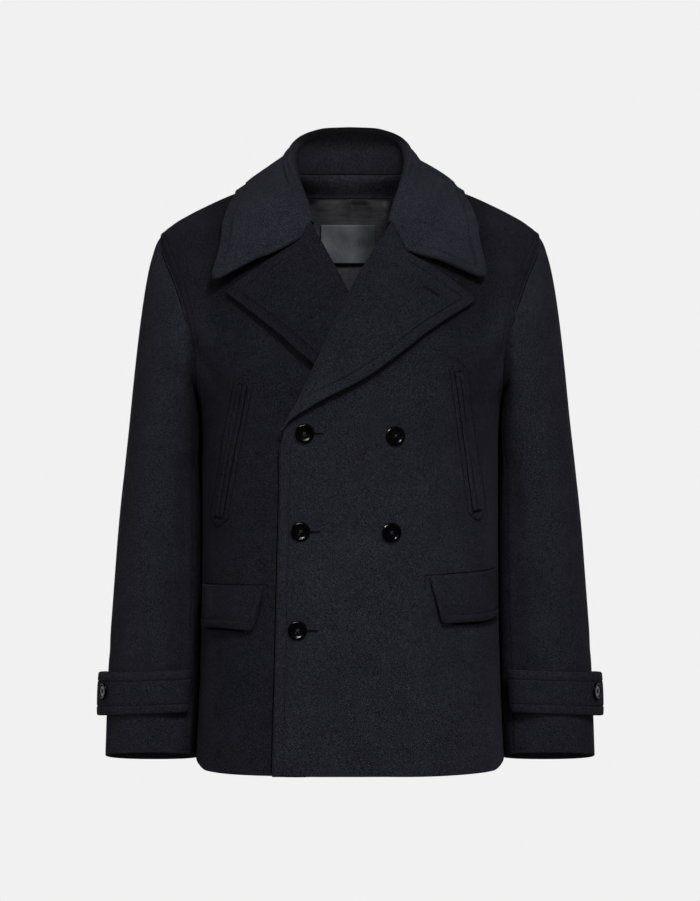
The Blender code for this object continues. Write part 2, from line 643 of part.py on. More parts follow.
def make_flap(word, side, mat):
    x1, h1, x2, h2, h3, h4 = FLAPS[word]
    m, n = 9, 5
    v = np.linspace(0, 1, n)[:, None]
    u = np.linspace(0, 1, m)[None]
    x0 = x1 * (1 - v) + x2 * v
    top = h1 * (1 - u) + h3 * u
    low = h2 * (1 - u) + h4 * u
    h = top * (1 - v) + low * v
    th = angle(x0 + 0 * h, h) * (1 - u) + FLAP_END * u
    off = 0.0005 + 0.0032 * step(v) * (1 - step((u - 0.55) / 0.45))
    g = skin(th * side, h, off, side)
    wall(f"flap_{word}", skin(th * side, h, off + FLAP, side), g, mat)


def strap_point(phi, h, side, off):
    p = ring(phi, h, side, PRESS)
    e = 0.5
    t1 = ring(phi + e, h, side, PRESS) - ring(phi - e, h, side, PRESS)
    t2 = ring(phi, h + 0.002, side, PRESS) - ring(phi, h - 0.002, side, PRESS)
    n = unit(np.cross(t2, t1)) * side
    return p + n * np.asarray(off)[..., None], n


def strap_off(phi):
    """How far the strap stands off the sleeve; its free end stands out most."""
    return 0.0007 + 0.0109 * step((70 - phi) / 80)


def make_strap(word, side, mat):
    phi = sleeve_angles()[0][:6:-1][None].copy()
    phi[0, 0] -= 3
    v = np.linspace(0, 1, 4)[:, None]
    h = STRAP_LOW * (1 - v) + STRAP_HIGH * v
    h = h + 0 * phi
    cut = step((-12 - phi) / 10) * 0.006
    h = np.where(v < 0.5, h + cut * (1 - 2 * v), h)
    phi = phi + 0 * h
    g, n = strap_point(phi, h, side, strap_off(phi))
    wall(f"strap_{word}", g + n * STRAP, g, mat)


def make_button(name, place, n, r, mat):
    """Four-hole button with a raised rim and a dished middle."""
    n = unit(np.array(n, float))
    up = unit(np.cross(n, np.cross((0, 0, 1.0), n)))
    side = np.cross(up, n)
    k = r / 0.013
    cell, hole = 0.0034 * k, 0.0010 * k
    # radius, height off the cloth; centre square first
    face = [(None, 0.0027), (0.0082, 0.0027), (0.0104, 0.0043), (0.0122, 0.0040),
            (0.0130, 0.0024), (0.0118, 0.0006), (0.0080, 0.0), (None, 0.0)]
    verts, faces = [], []

    def put(x, y, z):
        verts.append(np.array(place) + side * x + up * y + n * z * k)
        return len(verts) - 1

    square = []
    for i in range(4):
        a, b = [(1, -1), (1, 1), (-1, 1), (-1, -1)][i], [(1, 1), (-1, 1), (-1, -1), (1, -1)][i]
        for t in (0, 0.25, 0.5, 0.75):
            square.append((cell * (a[0] + (b[0] - a[0]) * t), cell * (a[1] + (b[1] - a[1]) * t)))
    rings = []
    for rad, z in face:
        pts = []
        for x, y in square:
            if rad is None:
                pts.append(put(x, y, z))
            else:
                f = rad * k / np.hypot(x, y)
                pts.append(put(x * f, y * f, z))
        rings.append(pts)
    for a, b in zip(rings, rings[1:]):
        for i in range(16):
            j = (i + 1) % 16
            faces.append((a[i], b[i], b[j], a[j]))
    holes = {}
    for level, ringi, z in ((0, rings[0], face[0][1]), (1, rings[-1], 0.0)):
        grid = {}
        for (x, y), i in zip(square, ringi):
            grid[(round(x / cell * 2), round(y / cell * 2))] = i
        for x in range(-2, 3):
            for y in range(-2, 3):
                if (x, y) not in grid and (x in (-2, 0, 2) or y in (-2, 0, 2)):
                    grid[(x, y)] = put(x * cell / 2, y * cell / 2, z)
        for cx in (-1, 1):
            for cy in (-1, 1):
                around = [(1, 0), (1, 1), (0, 1), (-1, 1), (-1, 0), (-1, -1), (0, -1), (1, -1)]
                outer = [grid[(cx + dx, cy + dy)] for dx, dy in around]
                inner = []
                for i in range(8):
                    a = i * pi / 4
                    inner.append(put(cx * cell / 2 + hole * np.cos(a), cy * cell / 2 + hole * np.sin(a), z))
                holes[(level, cx, cy)] = inner
                for i in range(8):
                    j = (i + 1) % 8
                    f = (outer[i], outer[j], inner[j], inner[i])
                    faces.append(f if level == 0 else tuple(reversed(f)))
    for cx in (-1, 1):
        for cy in (-1, 1):
            a, b = holes[(0, cx, cy)], holes[(1, cx, cy)]
            for i in range(8):
                j = (i + 1) % 8
                faces.append((a[i], a[j], b[j], b[i]))
    v = np.array(verts)
    vol = sum(np.dot(v[f[0]], np.cross(v[f[i]], v[f[i + 1]])) for f in faces for i in range(1, len(f) - 1))
    if vol < 0:
        faces = [tuple(reversed(f)) for f in faces]
    add(name, v, faces, mat)


# ---------------------------------------------------------------- the coat
def main():
    for ob in list(bpy.data.objects):
        bpy.data.objects.remove(ob, do_unlink=True)
    wool = material("melton", MELTON, 0.9)
    inner = material("melton_inside", INNER, 0.9)
    satin = material("lining", SATIN, 0.6)
    tab = material("label", TAB, 0.55)
    horn = material("button", HORN, 0.15)
    make_front("front_right", -1, wool)
    make_front("front_left", 1, wool)
    make_back("back_left", 1, wool)
    make_back("back_right", -1, wool)
    make_lapel("lapel_left", 1, "over", wool)
    make_lapel("lapel_right", -1, "under", wool)
    make_collar("collar", wool)
    make_inside(inner, satin, tab)
    for word, side in (("left", 1), ("right", -1)):
        make_sleeve(word, side, wool)
        make_slit(word, side, wool)
        make_flap(word, side, wool)
        make_strap(word, side, wool)
        phi, h = np.array(CUFF_BUTTON_AT), np.array((STRAP_LOW + STRAP_HIGH) / 2)
        at, n = strap_point(phi, h, side, strap_off(phi) + STRAP + 0.0006)
        make_button(f"cuff_button_{word}", at, n, CUFF_BUTTON, horn)
    for name, x, h in BUTTONS:
        th = angle(x, h)
        at = skin(th, h, 0.0002, 1)
        make_button(name, at, normal(th, h), FRONT_BUTTON, horn)


main()
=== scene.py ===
"""Pea coat: the fine cloth, sewing, buttons, light and camera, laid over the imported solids."""
import bpy
import numpy as np
from math import pi, radians
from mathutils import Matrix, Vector


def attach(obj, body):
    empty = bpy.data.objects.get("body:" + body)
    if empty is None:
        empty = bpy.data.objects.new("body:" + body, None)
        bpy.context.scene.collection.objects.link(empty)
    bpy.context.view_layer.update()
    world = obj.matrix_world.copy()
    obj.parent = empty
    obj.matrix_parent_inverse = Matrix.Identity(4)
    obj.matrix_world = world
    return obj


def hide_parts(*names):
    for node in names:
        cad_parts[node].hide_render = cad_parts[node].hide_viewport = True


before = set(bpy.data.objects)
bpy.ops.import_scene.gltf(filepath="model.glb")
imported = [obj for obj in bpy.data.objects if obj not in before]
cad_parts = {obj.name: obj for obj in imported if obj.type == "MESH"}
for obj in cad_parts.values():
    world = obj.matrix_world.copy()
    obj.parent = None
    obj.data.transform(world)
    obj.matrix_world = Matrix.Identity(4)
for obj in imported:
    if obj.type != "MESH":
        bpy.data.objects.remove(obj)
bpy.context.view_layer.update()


# ---------------------------------------------------------------- sizes, close to the solids' own
NECK = 0.760          # neck point above the hem, height of the origin
CLOTH = 0.0026        # melton of the body and sleeves
LAPEL = 0.0034        # lapel, two layers
COLLAR = 0.0044       # collar, two layers and canvas
FLAP = 0.0036         # pocket flap, two layers
STRAP = 0.0040        # cuff strap, two layers
LINING = 0.0010
LAY = 0.0014          # gap below a piece that lies on a panel
PRESS = 0.0003        # gap between sleeve and side of the body
ARMPIT = 0.450        # lowest point of the armhole above the hem
SHOULDER = 0.6764     # shoulder point above the hem
ARM_FRONT = 33.5      # degrees that the armhole reaches round the front
ARM_BACK = 32.0       # and round the back
SEAM_FORE = 138.5     # forearm seam of the sleeve, degrees from its outer side
SEAM_HIND = -124.6    # its back seam
STITCH_IN = 0.0128    # topstitching of fronts, armholes and lapels, in from the edge
PITCH = 0.0040     # step of the cloth grids

# height, half width, depth to front, depth to back, middle y, squareness
BODY = [
    (0.000, 0.1980, 0.147, 0.140, 0.000, 3.5),
    (0.100, 0.1940, 0.145, 0.134, 0.000, 3.0),
    (0.200, 0.1920, 0.144, 0.129, 0.000, 2.6),
    (0.300, 0.1915, 0.143, 0.127, 0.000, 2.5),
    (0.400, 0.1915, 0.143, 0.128, 0.000, 2.5),
    (0.450, 0.1935, 0.143, 0.130, 0.000, 2.5),
    (0.490, 0.2068, 0.142, 0.132, 0.000, 2.5),
    (0.528, 0.2210, 0.139, 0.133, 0.000, 2.5),
    (0.562, 0.2320, 0.133, 0.133, 0.001, 2.5),
    (0.608, 0.2425, 0.120, 0.130, 0.002, 2.5),
    (0.650, 0.2475, 0.103, 0.122, 0.004, 2.5),
    (0.6764, 0.2465, 0.089, 0.114, 0.005, 2.5),
    (0.694, 0.2290, 0.077, 0.107, 0.006, 2.5),
    (0.7063, 0.2088, 0.067, 0.102, 0.007, 2.5),
    (0.7193, 0.1840, 0.056, 0.096, 0.008, 2.4),
    (0.7324, 0.1554, 0.046, 0.089, 0.009, 2.3),
    (0.745, 0.1210, 0.038, 0.080, 0.011, 2.2),
    (0.760, 0.0800, 0.031, 0.066, 0.012, 2.1),
    (0.780, 0.0620, 0.028, 0.060, 0.013, 2.0),
    (0.850, 0.0600, 0.028, 0.060, 0.013, 2.0),
]

# height, how far the worn-over front stands off the body at the middle
OVER = [(0.00, 0.0046), (0.30, 0.0048), (0.36, 0.0066), (0.42, 0.0098),
        (0.60, 0.0098), (0.64, 0.0045), (0.675, 0.0), (0.90, 0.0)]

# rows up a front: 0 to 7 below the break, to 16 along the fold line, to 21 along the neckline
ROW_H = [0.0, 0.06, 0.12, 0.18, 0.24, 0.30, 0.36, 0.425]
BREAK_ROW, GORGE_ROW, TOP_ROW, NAPE_ROW = 7, 16, 21, 15
# front edge, then fold line: place, over x, under x, height
EDGE = [
    (0.0, -0.0950, -0.0850, 0.000), (0.33, -0.0915, -0.0850, 0.140),
    (0.66, -0.0880, -0.0850, 0.280), (1.0, -0.0840, -0.0850, 0.420),
]
FOLD = [
    (0.0, -0.0800, -0.0800, 0.425), (0.15, -0.0615, -0.0620, 0.453),
    (0.35, -0.0370, -0.0375, 0.5045), (0.65, 0.0060, 0.0050, 0.594),
    (1.0, 0.0560, 0.0535, 0.6865),
]
# front neckline: place, x, height
NECKLINE = [(0.0, 0.0560, 0.6865), (0.25, 0.0605, 0.7060), (0.5, 0.0660, 0.7260),
            (0.75, 0.0725, 0.7440), (1.0, 0.0800, 0.7600)]

# lower edge of the lapel from the break to its tip: place, over x, over h, under x, under h
LAPEL_LOW = [
    (0.0, -0.0832, 0.4245, -0.0832, 0.4245), (0.09, -0.0700, 0.4375, -0.0700, 0.4370),
    (0.26, -0.0385, 0.4578, -0.0400, 0.4550),
    (0.49, 0.0200, 0.4886, 0.0200, 0.4872), (0.77, 0.0994, 0.5475, 0.1000, 0.5530),
    (1.0, 0.1560, 0.5860, 0.1548, 0.5965),
]
# corners of lapel and collar on each front: x, height
POINTS = {
    "over": dict(notch=(0.0700, 0.6446), lapel_tip=(0.1560, 0.5860), collar_tip=(0.1680, 0.6085)),
    "under": dict(notch=(0.0608, 0.6632), lapel_tip=(0.1548, 0.5965), collar_tip=(0.1675, 0.6010)),
}

# middle of the collar's roll, centre back to gorge: place, x, y, height, roll radius
ROLL = [
    (0.00, 0.0000, 0.0830, 0.8275, 0.0046), (0.15, 0.0300, 0.0790, 0.8258, 0.0046),
    (0.28, 0.0502, 0.0680, 0.8195, 0.0046), (0.38, 0.0655, 0.0520, 0.8095, 0.0045),
    (0.47, 0.0745, 0.0310, 0.7950, 0.0044), (0.56, 0.0765, 0.0090, 0.7780, 0.0042),
    (0.66, 0.0732, -0.0180, 0.7580, 0.0040), (0.78, 0.0680, -0.0430, 0.7370, 0.0036),
    (0.90, 0.0615, -0.0670, 0.7110, 0.0032), (1.00, 0.0560, -0.0800, 0.6870, 0.0030),
]
# the way that the roll's outer side faces: place, x, y, z
FACING = [
    (0.00, 0.00, 1.00, 0.00), (0.28, 0.55, 0.83, 0.10), (0.47, 1.00, 0.15, 0.10),
    (0.66, 0.93, -0.35, 0.20), (0.85, 0.55, -0.75, 0.35), (1.00, 0.25, -0.85, 0.42),
]
# free edge of the collar on the front: place, x, height
COLLAR_FRONT = [(0.70, 0.1500, 0.7265), (0.78, 0.1530, 0.7120), (0.86, 0.1590, 0.6870),
                (0.94, 0.1660, 0.6520), (1.00, 0.1717, 0.6142)]
COLLAR_BACK_H = 0.735      # its height round the back

# sleeve rings: height, inner x, outer x, middle y, half depth, tilt
SLEEVE = [
    (0.004, 0.1950, 0.3165, -0.010, 0.054, 0.229), (0.060, 0.1900, 0.3148, -0.009, 0.057, 0.190),
    (0.130, 0.1850, 0.3123, -0.006, 0.061, 0.140), (0.210, 0.1820, 0.3072, -0.001, 0.066, 0.090),
    (0.300, 0.1810, 0.3008, 0.005, 0.073, 0.030), (0.400, 0.1810, 0.2906, 0.010, 0.081, 0.0),
    (0.460, 0.1850, 0.2826, 0.010, 0.084, 0.0),
]
SLEEVE_TOP = 0.400         # height above which the sleeve bends in to the armhole

# buttons on the over front: name, x, height
BUTTONS = [("button_1", -0.0542, 0.4210), ("button_2", -0.0598, 0.3005),
           ("button_3", -0.0637, 0.1792), ("button_4", 0.0545, 0.4180),
           ("button_5", 0.0503, 0.2995)]
# slit pockets: x and height of the top and the bottom of the slit, own side positive
SLITS = {"left": (0.1325, 0.4985, 0.1590, 0.3240), "right": (0.1325, 0.4810, 0.1645, 0.3160)}
LIP = 0.0052          # width of a slit's lip
# flaps: front corner x, height, then the lower corner, height at the side, own side positive
FLAPS = {"left": (0.0955, 0.2455, 0.1105, 0.1850, 0.2500, 0.1895),
         "right": (0.1055, 0.2330, 0.1165, 0.1775, 0.2300, 0.1775)}
FLAP_END = 70.0       # way round the body at which a flap ends
STRAP_LOW, STRAP_HIGH = 0.0585, 0.1145     # heights of a cuff strap's edges
STRAP_SAG = 0.0038    # how much lower a strap hangs half way round
CUFF_BUTTON = (31.0, 0.08675)      # way round the sleeve, height
BUTTON_R, CUFF_BUTTON_R = 0.0119, 0.0112
THREAD_R, TWIST_R = 0.00028, 0.00026       # topstitching thread, buttonhole thread
# buttonholes of the over front: x of the inner end, height, length
HOLES = [(-0.0470, 0.4205, 0.0140), (-0.0510, 0.3000, 0.0140), (-0.0545, 0.1787, 0.0140)]
LAPEL_HOLE = ((0.1090, 0.5925), (-0.86, 0.51), 0.0200)     # its eye's x and height, its way, its length


# ---------------------------------------------------------------- curves and the body's form
def curve(rows, col, t):
    """Smooth curve through one column of a table, against its first column."""
    a = np.array(rows, float)
    x, y = a[:, 0], a[:, col]
    h = np.diff(x)
    d = np.diff(y) / h
    m = np.empty_like(y)
    m[0], m[-1] = d[0], d[-1]
    same = d[:-1] * d[1:] > 0
    w1, w2 = 2 * h[1:] + h[:-1], h[1:] + 2 * h[:-1]
    with np.errstate(divide="ignore", invalid="ignore"):
        mid = (w1 + w2) / (w1 / d[:-1] + w2 / d[1:])
    m[1:-1] = np.where(same, mid, 0.0)
    t = np.clip(np.asarray(t, float), x[0], x[-1])
    i = np.clip(np.searchsorted(x, t, side="right") - 1, 0, len(h) - 1)
    s = (t - x[i]) / h[i]
    return ((2 * s**3 - 3 * s**2 + 1) * y[i] + (s**3 - 2 * s**2 + s) * h[i] * m[i]
            + (3 * s**2 - 2 * s**3) * y[i + 1] + (s**3 - s**2) * h[i] * m[i + 1])


def through(points, stops):
    """Function along a line through points at the stops."""
    p = np.array(points, float)
    return lambda u: np.stack([np.interp(u, stops, p[:, i]) for i in range(p.shape[1])], -1)


def unit(v):
    """Vectors made one long."""
    return v / np.maximum(np.linalg.norm(v, axis=-1, keepdims=True), 1e-12)


def step(t):
    """Smooth rise from 0 at 0 to 1 at 1."""
    t = np.clip(t, 0.0, 1.0)
    return t * t * (3 - 2 * t)


def bump(t):
    """Soft hill, 1 high at 0."""
    return np.exp(-t * t)


def same_shape(a, b):
    return np.broadcast_arrays(np.asarray(a, float), np.asarray(b, float))


def squared(s, c, e):
    """Radius of a squared circle in the direction of a sine and a cosine; e is 2 for a round one."""
    return (np.abs(s)**e + np.abs(c)**e) ** (-1 / e)


def body(th, h):
    """Point of the body's outer surface; th is 0 at the front, 90 at the wearer's left side."""
    th, h = same_shape(np.radians(th), h)
    w, f, b, mid, e = (curve(BODY, c, h) for c in range(1, 6))
    s, c = np.sin(th), np.cos(th)
    r = squared(s, c, e)
    y = mid - np.where(c > 0, f, b) * r * c
    return np.stack([w * r * s, y, h - NECK], -1)


def normal(th, h):
    """Way out of the body's surface."""
    e, k = 0.2, 0.0005
    th, h = same_shape(th, h)
    return unit(np.cross(body(th + e, h) - body(th - e, h), body(th, h + k) - body(th, h - k)))


def angle(x, h):
    """Way round the front at which the body is x wide at height h."""
    w, e = curve(BODY, 1, h), curve(BODY, 5, h)
    q = np.clip(np.abs(x) / w, 0, 0.99999)
    return np.degrees(np.arctan2(q, (1 - q**e) ** (1 / e))) * np.sign(x)


def over(p, side):
    """How far the over front stands off the body at a point."""
    if side < 0:
        return np.zeros(p.shape[:-1])
    fade = 1 - step((p[..., 0] - 0.092) / 0.075)
    return curve(OVER, 1, p[..., 2] + NECK) * fade


# soft troughs and ridges of the body: way round, height, lean, half length, half width, depth
FOLDS = [
    (4, 0.330, 3, 0.120, 0.013, -0.0022), (14, 0.300, -2, 0.100, 0.016, 0.0014),
    (-9, 0.210, 2, 0.150, 0.020, 0.0016), (9, 0.120, -3, 0.130, 0.018, -0.0020),
    (24, 0.110, 4, 0.150, 0.022, 0.0022), (36, 0.130, -2, 0.120, 0.020, -0.0018),
    (-24, 0.120, -3, 0.110, 0.020, -0.0016), (-40, 0.140, 3, 0.140, 0.024, 0.0018),
    (30, 0.385, 38, 0.060, 0.012, -0.0014), (14, 0.405, 62, 0.035, 0.008, -0.0011),
    (13, 0.286, -60, 0.030, 0.008, -0.0009), (-56, 0.520, -24, 0.070, 0.014, -0.0024),
    (-50, 0.545, -26, 0.060, 0.014, 0.0014), (56, 0.520, 24, 0.072, 0.014, -0.0024),
    (49, 0.548, 27, 0.060, 0.014, 0.0014), (-47, 0.420, -8, 0.090, 0.018, 0.0012),
    (50, 0.410, 8, 0.090, 0.018, -0.0012), (-70, 0.250, 4, 0.140, 0.020, -0.0022),
    (72, 0.240, -5, 0.150, 0.020, -0.0020), (84, 0.150, 3, 0.120, 0.018, 0.0018),
    (-86, 0.140, -4, 0.120, 0.018, 0.0018), (104, 0.200, 4, 0.150, 0.020, -0.0022),
    (-106, 0.220, -3, 0.140, 0.022, -0.0022), (122, 0.160, -4, 0.140, 0.022, 0.0024),
    (-124, 0.150, 4, 0.150, 0.024, 0.0024), (140, 0.140, 3, 0.150, 0.020, -0.0022),
    (-143, 0.150, -2, 0.140, 0.022, -0.0024), (160, 0.180, -2, 0.160, 0.022, 0.0018),
    (-163, 0.170, 3, 0.150, 0.020, 0.0018), (128, 0.500, -22, 0.080, 0.015, -0.0026),
    (-127, 0.495, 23, 0.085, 0.015, -0.0026), (136, 0.530, -26, 0.070, 0.016, 0.0016),
    (-137, 0.525, 25, 0.070, 0.016, 0.0016), (155, 0.400, -12, 0.080, 0.018, -0.0014),
    (-152, 0.390, 10, 0.085, 0.018, -0.0014), (172, 0.300, 4, 0.090, 0.020, 0.0010),
]


BUTTON_TH = {x: float(angle(np.array(x), np.array(h))) for _, x, h in BUTTONS}


def around(th, at):
    """Degrees from one way round to another, from -180 to 180."""
    return np.mod(th - at + 180, 360) - 180


def fold(x, y, lean, long, wide, deep, sway, phase):
    """Height of a soft fold at x across and y up from its middle; sway is how far and how fast it winds."""
    c, s = np.cos(radians(lean)), np.sin(radians(lean))
    across = x * c - y * s + sway[0] * np.sin(y * sway[1] + phase)
    return deep * bump((x * s + y * c) / long) * bump(across / wide)


def relief(th, h):
    """Height of the body's soft folds."""
    th, h = same_shape(th, h)
    high = np.zeros(th.shape)
    for t0, h0, *form in FOLDS:
        high = high + fold(around(th, t0) * 0.0029, h - h0, *form, (0.0022, 46), t0)
    # the thread of each button draws the cloth in
    for _, bx, bh in BUTTONS:
        r = np.hypot((th - BUTTON_TH[bx]) * 0.0027, h - bh)
        high = high - 0.0011 * bump(r / 0.013)
    # no folds at the shoulder, nor where the sleeve starts at the armpit
    calm = step((0.70 - h) / 0.06) * (1 - step((0.47 - h) / 0.03) * bump((np.abs(th) - 90) / 17))
    return high * calm


def skin(th, h, off, side=-1):
    """Point at a height off the body, or off the over front with side = 1."""
    p = body(th, h)
    return p + normal(th, h) * (np.asarray(off) + over(p, side) + relief(th, h))[..., None]


def front(x, h, off, side):
    """Point on a front, x positive towards that front's own side."""
    x, h = same_shape(x, h)
    return skin(angle(x * side, h), h, off, side)


def away(p, off):
    """Moves points out until they lie at least off from the body and the over front."""
    p = np.array(p, float)

    def level(q):
        w, f, b, mid, e = (curve(BODY, c, q[..., 2] + NECK) for c in range(1, 6))
        d = np.where(q[..., 1] < mid, f, b)
        return ((np.abs(q[..., 0]) / w)**e + (np.abs(q[..., 1] - mid) / d)**e) ** (1 / e)

    k = 0.0004
    for _ in range(5):
        f = level(p)
        g = np.stack([(level(p + v) - level(p - v)) / (2 * k) for v in np.eye(3) * k], -1)
        n = np.linalg.norm(g, axis=-1)
        need = off + over(p, 1) - (f - 1) / n
        p = p + g / n[..., None] * np.maximum(need, 0)[..., None]
    return p


# ---------------------------------------------------------------- grids and cloth walls
RIM = (0.0, 0.00008, 0.0003, 0.0007, 0.0012, 0.0018)
GROOVE = (-0.0022, -0.0012, -0.0005, 0.0, 0.0005, 0.0012, 0.0022)


def marks(*lines):
    """Distances in from an edge at which a grid has a line: its rim, and grooves at the lines named."""
    d = list(RIM)
    for at in lines:
        d += [at + g for g in GROOVE]
    return np.array(sorted(d))


def places(length, pitch, low, high):
    """Fractions of each row's length: the marks from both ends, and even steps between."""
    length = np.atleast_1d(np.asarray(length, float))[:, None]
    k = max(2, int(round((np.median(length) - low[-1] - high[-1]) / pitch)))
    room = np.minimum(1, 0.4 * length / max(low[-1], high[-1]))
    a = low[None] * room / length
    b = 1 - high[::-1][None] * room / length
    mid = a[:, -1:] + np.arange(1, k)[None] / k * (b[:, :1] - a[:, -1:])
    return np.concatenate([a, mid, b], 1)


def runs(p):
    """Distances of each point of a grid from its four borders: first column, last, first row, last."""
    x = np.linalg.norm(np.diff(p, axis=1), axis=-1)
    y = np.linalg.norm(np.diff(p, axis=0), axis=-1)
    left = np.concatenate([np.zeros((len(p), 1)), np.cumsum(x, 1)], 1)
    low = np.concatenate([np.zeros((1, p.shape[1])), np.cumsum(y, 0)], 0)
    return left, left[:, -1:] - left, low, low[-1:] - low


def rounded(a, b, radius):
    """Distances from two edges that meet, pulled in so that their corner is round."""
    p, q = radius - a, radius - b
    inside = (p > 0) & (q > 0)
    m, l = np.maximum(p, q), np.hypot(p, q)
    k = np.where(inside, m / np.maximum(l, 1e-9), 1.0)
    return np.where(inside, radius - p * k, a), np.where(inside, radius - q * k, b)


def tab_places(u, v, wide, tall, first, last):
    """Places on a tab with the corners at its end, u = 0, rounded by radii at v = 0 and v = 1."""
    a, b = rounded(u * wide, v * tall + 0 * u, first)
    c, d = rounded(u * wide, (1 - v) * tall + 0 * u, last)
    return np.where(v > 0.5, c, a) / wide, np.where(v > 0.5, 1 - d / tall, b / tall)


def grid_normals(g):
    """Way out of a grid at each of its points."""
    return unit(np.cross(np.gradient(g, axis=1), np.gradient(g, axis=0)))


def half_wall(d, thick, reach=0.55):
    """Half thickness of a wall with a round edge, at a distance from the edge."""
    r = thick * reach
    q = 1 - np.clip(d / np.maximum(r, 1e-6), 0, 1)
    return thick / 2 * np.sqrt(np.clip(1 - q * q, 0, 1))


def mesh(name, verts, faces, mat, node=None):
    """A smooth piece on the coat's one body; node names the solid that it stands for."""
    me = bpy.data.meshes.new(name)
    me.from_pydata(np.asarray(verts, float).tolist(), [], faces)
    me.shade_smooth()
    me.materials.append(mat)
    ob = bpy.data.objects.new(name, me)
    bpy.context.scene.collection.objects.link(ob)
    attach(ob, "root")
    if node:
        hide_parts(node)
    return ob


def cloth(name, node, mid, half, mat, normals=None, held="hung", second=None):
    """Closed wall either side of a middle surface; half is its half thickness, made 0 along the border.

    second is another material and the number of first columns that it covers.
    Gives the outer points and the normals.
    """
    half = np.array(half)
    half[[0, -1]] = 0
    half[:, [0, -1]] = 0
    n, m = half.shape
    nrm = grid_normals(mid) if normals is None else normals
    # the normals point away from the middle of the coat
    centre = mid.mean((0, 1))
    if np.sum(nrm * (mid - np.array([centre[0] * 0.9, 0.0, centre[2]]))) < 0:
        nrm = -nrm
    outer = mid + nrm * half[..., None]
    inner = (mid - nrm * half[..., None])[1:-1, 1:-1]
    top = np.arange(n * m).reshape(n, m)
    low = top.copy()
    low[1:-1, 1:-1] = n * m + np.arange((n - 2) * (m - 2)).reshape(n - 2, m - 2)
    quads = []
    for g, flip in ((top, False), (low, True)):
        q = np.stack([g[:-1, :-1], g[:-1, 1:], g[1:, 1:], g[1:, :-1]], -1).reshape(-1, 4)
        quads.append(q[:, ::-1] if flip else q)
    faces = np.concatenate(quads)
    verts = np.concatenate([outer.reshape(-1, 3), inner.reshape(-1, 3)])
    a, b, c, d = (verts[faces[:, i]] for i in range(4))
    if np.sum(np.cross(c - a, d - b) * a) < 0:
        faces = faces[:, ::-1]
    ob = mesh(f"{name}_cloth", verts, faces.tolist(), mat, node)
    if second:
        ob.data.materials.append(second[0])
        covered = np.tile(np.arange(m - 1) < second[1], 2 * (n - 1))
        ob.data.polygons.foreach_set("material_index", covered.astype(np.int32))
    if held:
        x, _, y, _ = runs(mid)
    return outer, nrm


def least(*distances):
    return np.minimum.reduce(distances)


def nearest(d, at, axis=0):
    """Which line of a grid runs closest to a distance from its border."""
    return int(np.argmin(np.abs(np.median(d, axis) - at)))


# ---------------------------------------------------------------- sewing
THREADS = []          # topstitching, one row a stitch: where it starts, where it ends, the way up
TWIST = []            # the same for the buttonholes
PAINTED_SHADE_LINES = []          # one row a strip of painted shade where two layers meet: its points, the way up, its width


def sew(points, ups, pitch=0.0034, length=0.0026, first=0.0):
    """Stitches along a line that lies on the cloth."""
    run = np.concatenate([[0], np.cumsum(np.linalg.norm(np.diff(points, axis=0), axis=1))])
    point, up = through(points, run), through(ups, run)
    for a in np.arange(first, run[-1] - length, pitch):
        THREADS.append((point(a), point(a + length), unit(up(a))))


def tube(verts, faces, line, across, up, radii, sides):
    """Adds a thin tube along a line of points to a mesh's lists."""
    k = len(verts)
    for c, r in zip(line, radii):
        for w in np.arange(sides) * 2 * pi / sides:
            verts.append(c + across * (np.cos(w) * r) + up * (np.sin(w) * r))
    for i in range(len(line) - 1):
        for j in range(sides):
            p, q = k + i * sides + j, k + i * sides + (j + 1) % sides
            faces.append((p, q, q + sides, p + sides))


def make_threads(name, stitches, mat, radius):
    """Stitches as one piece, each an arched bit of thread with its ends in the cloth."""
    verts, faces = [], []
    sunk, arch = -0.00030, 0.00012
    form = ((0.0, sunk, 0.6), (0.2, arch, 1.0), (0.8, arch, 1.0), (1.0, sunk, 0.6))
    for a, b, up in stitches:
        line = [a + (b - a) * t + up * lift for t, lift, _ in form]
        tube(verts, faces, line, unit(np.cross(b - a, up)), up, [thick * radius for _, _, thick in form], 5)
    mesh(name, verts, faces, mat)


def make_painted_shade_lines(mat):
    """All strips of painted shade along seams and under edges, as one piece of narrow ribbons."""
    verts, faces = [], []
    for points, ups, wide in PAINTED_SHADE_LINES:
        across = unit(np.cross(np.gradient(points, axis=0), ups)) * wide / 2
        k = len(verts)
        for p, a in zip(points, across):
            verts += [p - a, p + a]
        faces += [(k + i, k + i + 1, k + i + 3, k + i + 2) for i in range(0, 2 * len(points) - 2, 2)]
    mesh("seam_shade", verts, faces, mat)


# ---------------------------------------------------------------- body panels
def armhole(phi):
    """th and h of the armhole; phi 0 at the shoulder, 180 at the armpit, negative at the back."""
    p = np.radians(phi)
    reach = np.where(np.sin(p) >= 0, ARM_FRONT, ARM_BACK)
    mid, half = (SHOULDER + ARMPIT) / 2, (SHOULDER - ARMPIT) / 2
    return 90 - reach * np.sin(p), mid + half * np.cos(p)


def side_line(row, back=False):
    """th and h of the side seam and then of the armhole, at a row."""
    first = BREAK_ROW + 1
    phi = 180 * (1 - np.clip((row - first) / (TOP_ROW - first), 0, 1)) * (-1 if back else 1)
    th, h = armhole(phi)
    low = np.interp(row, range(first + 1), ROW_H + [ARMPIT])
    return np.where(row < first, 90.0, th), np.where(row < first, low, h)


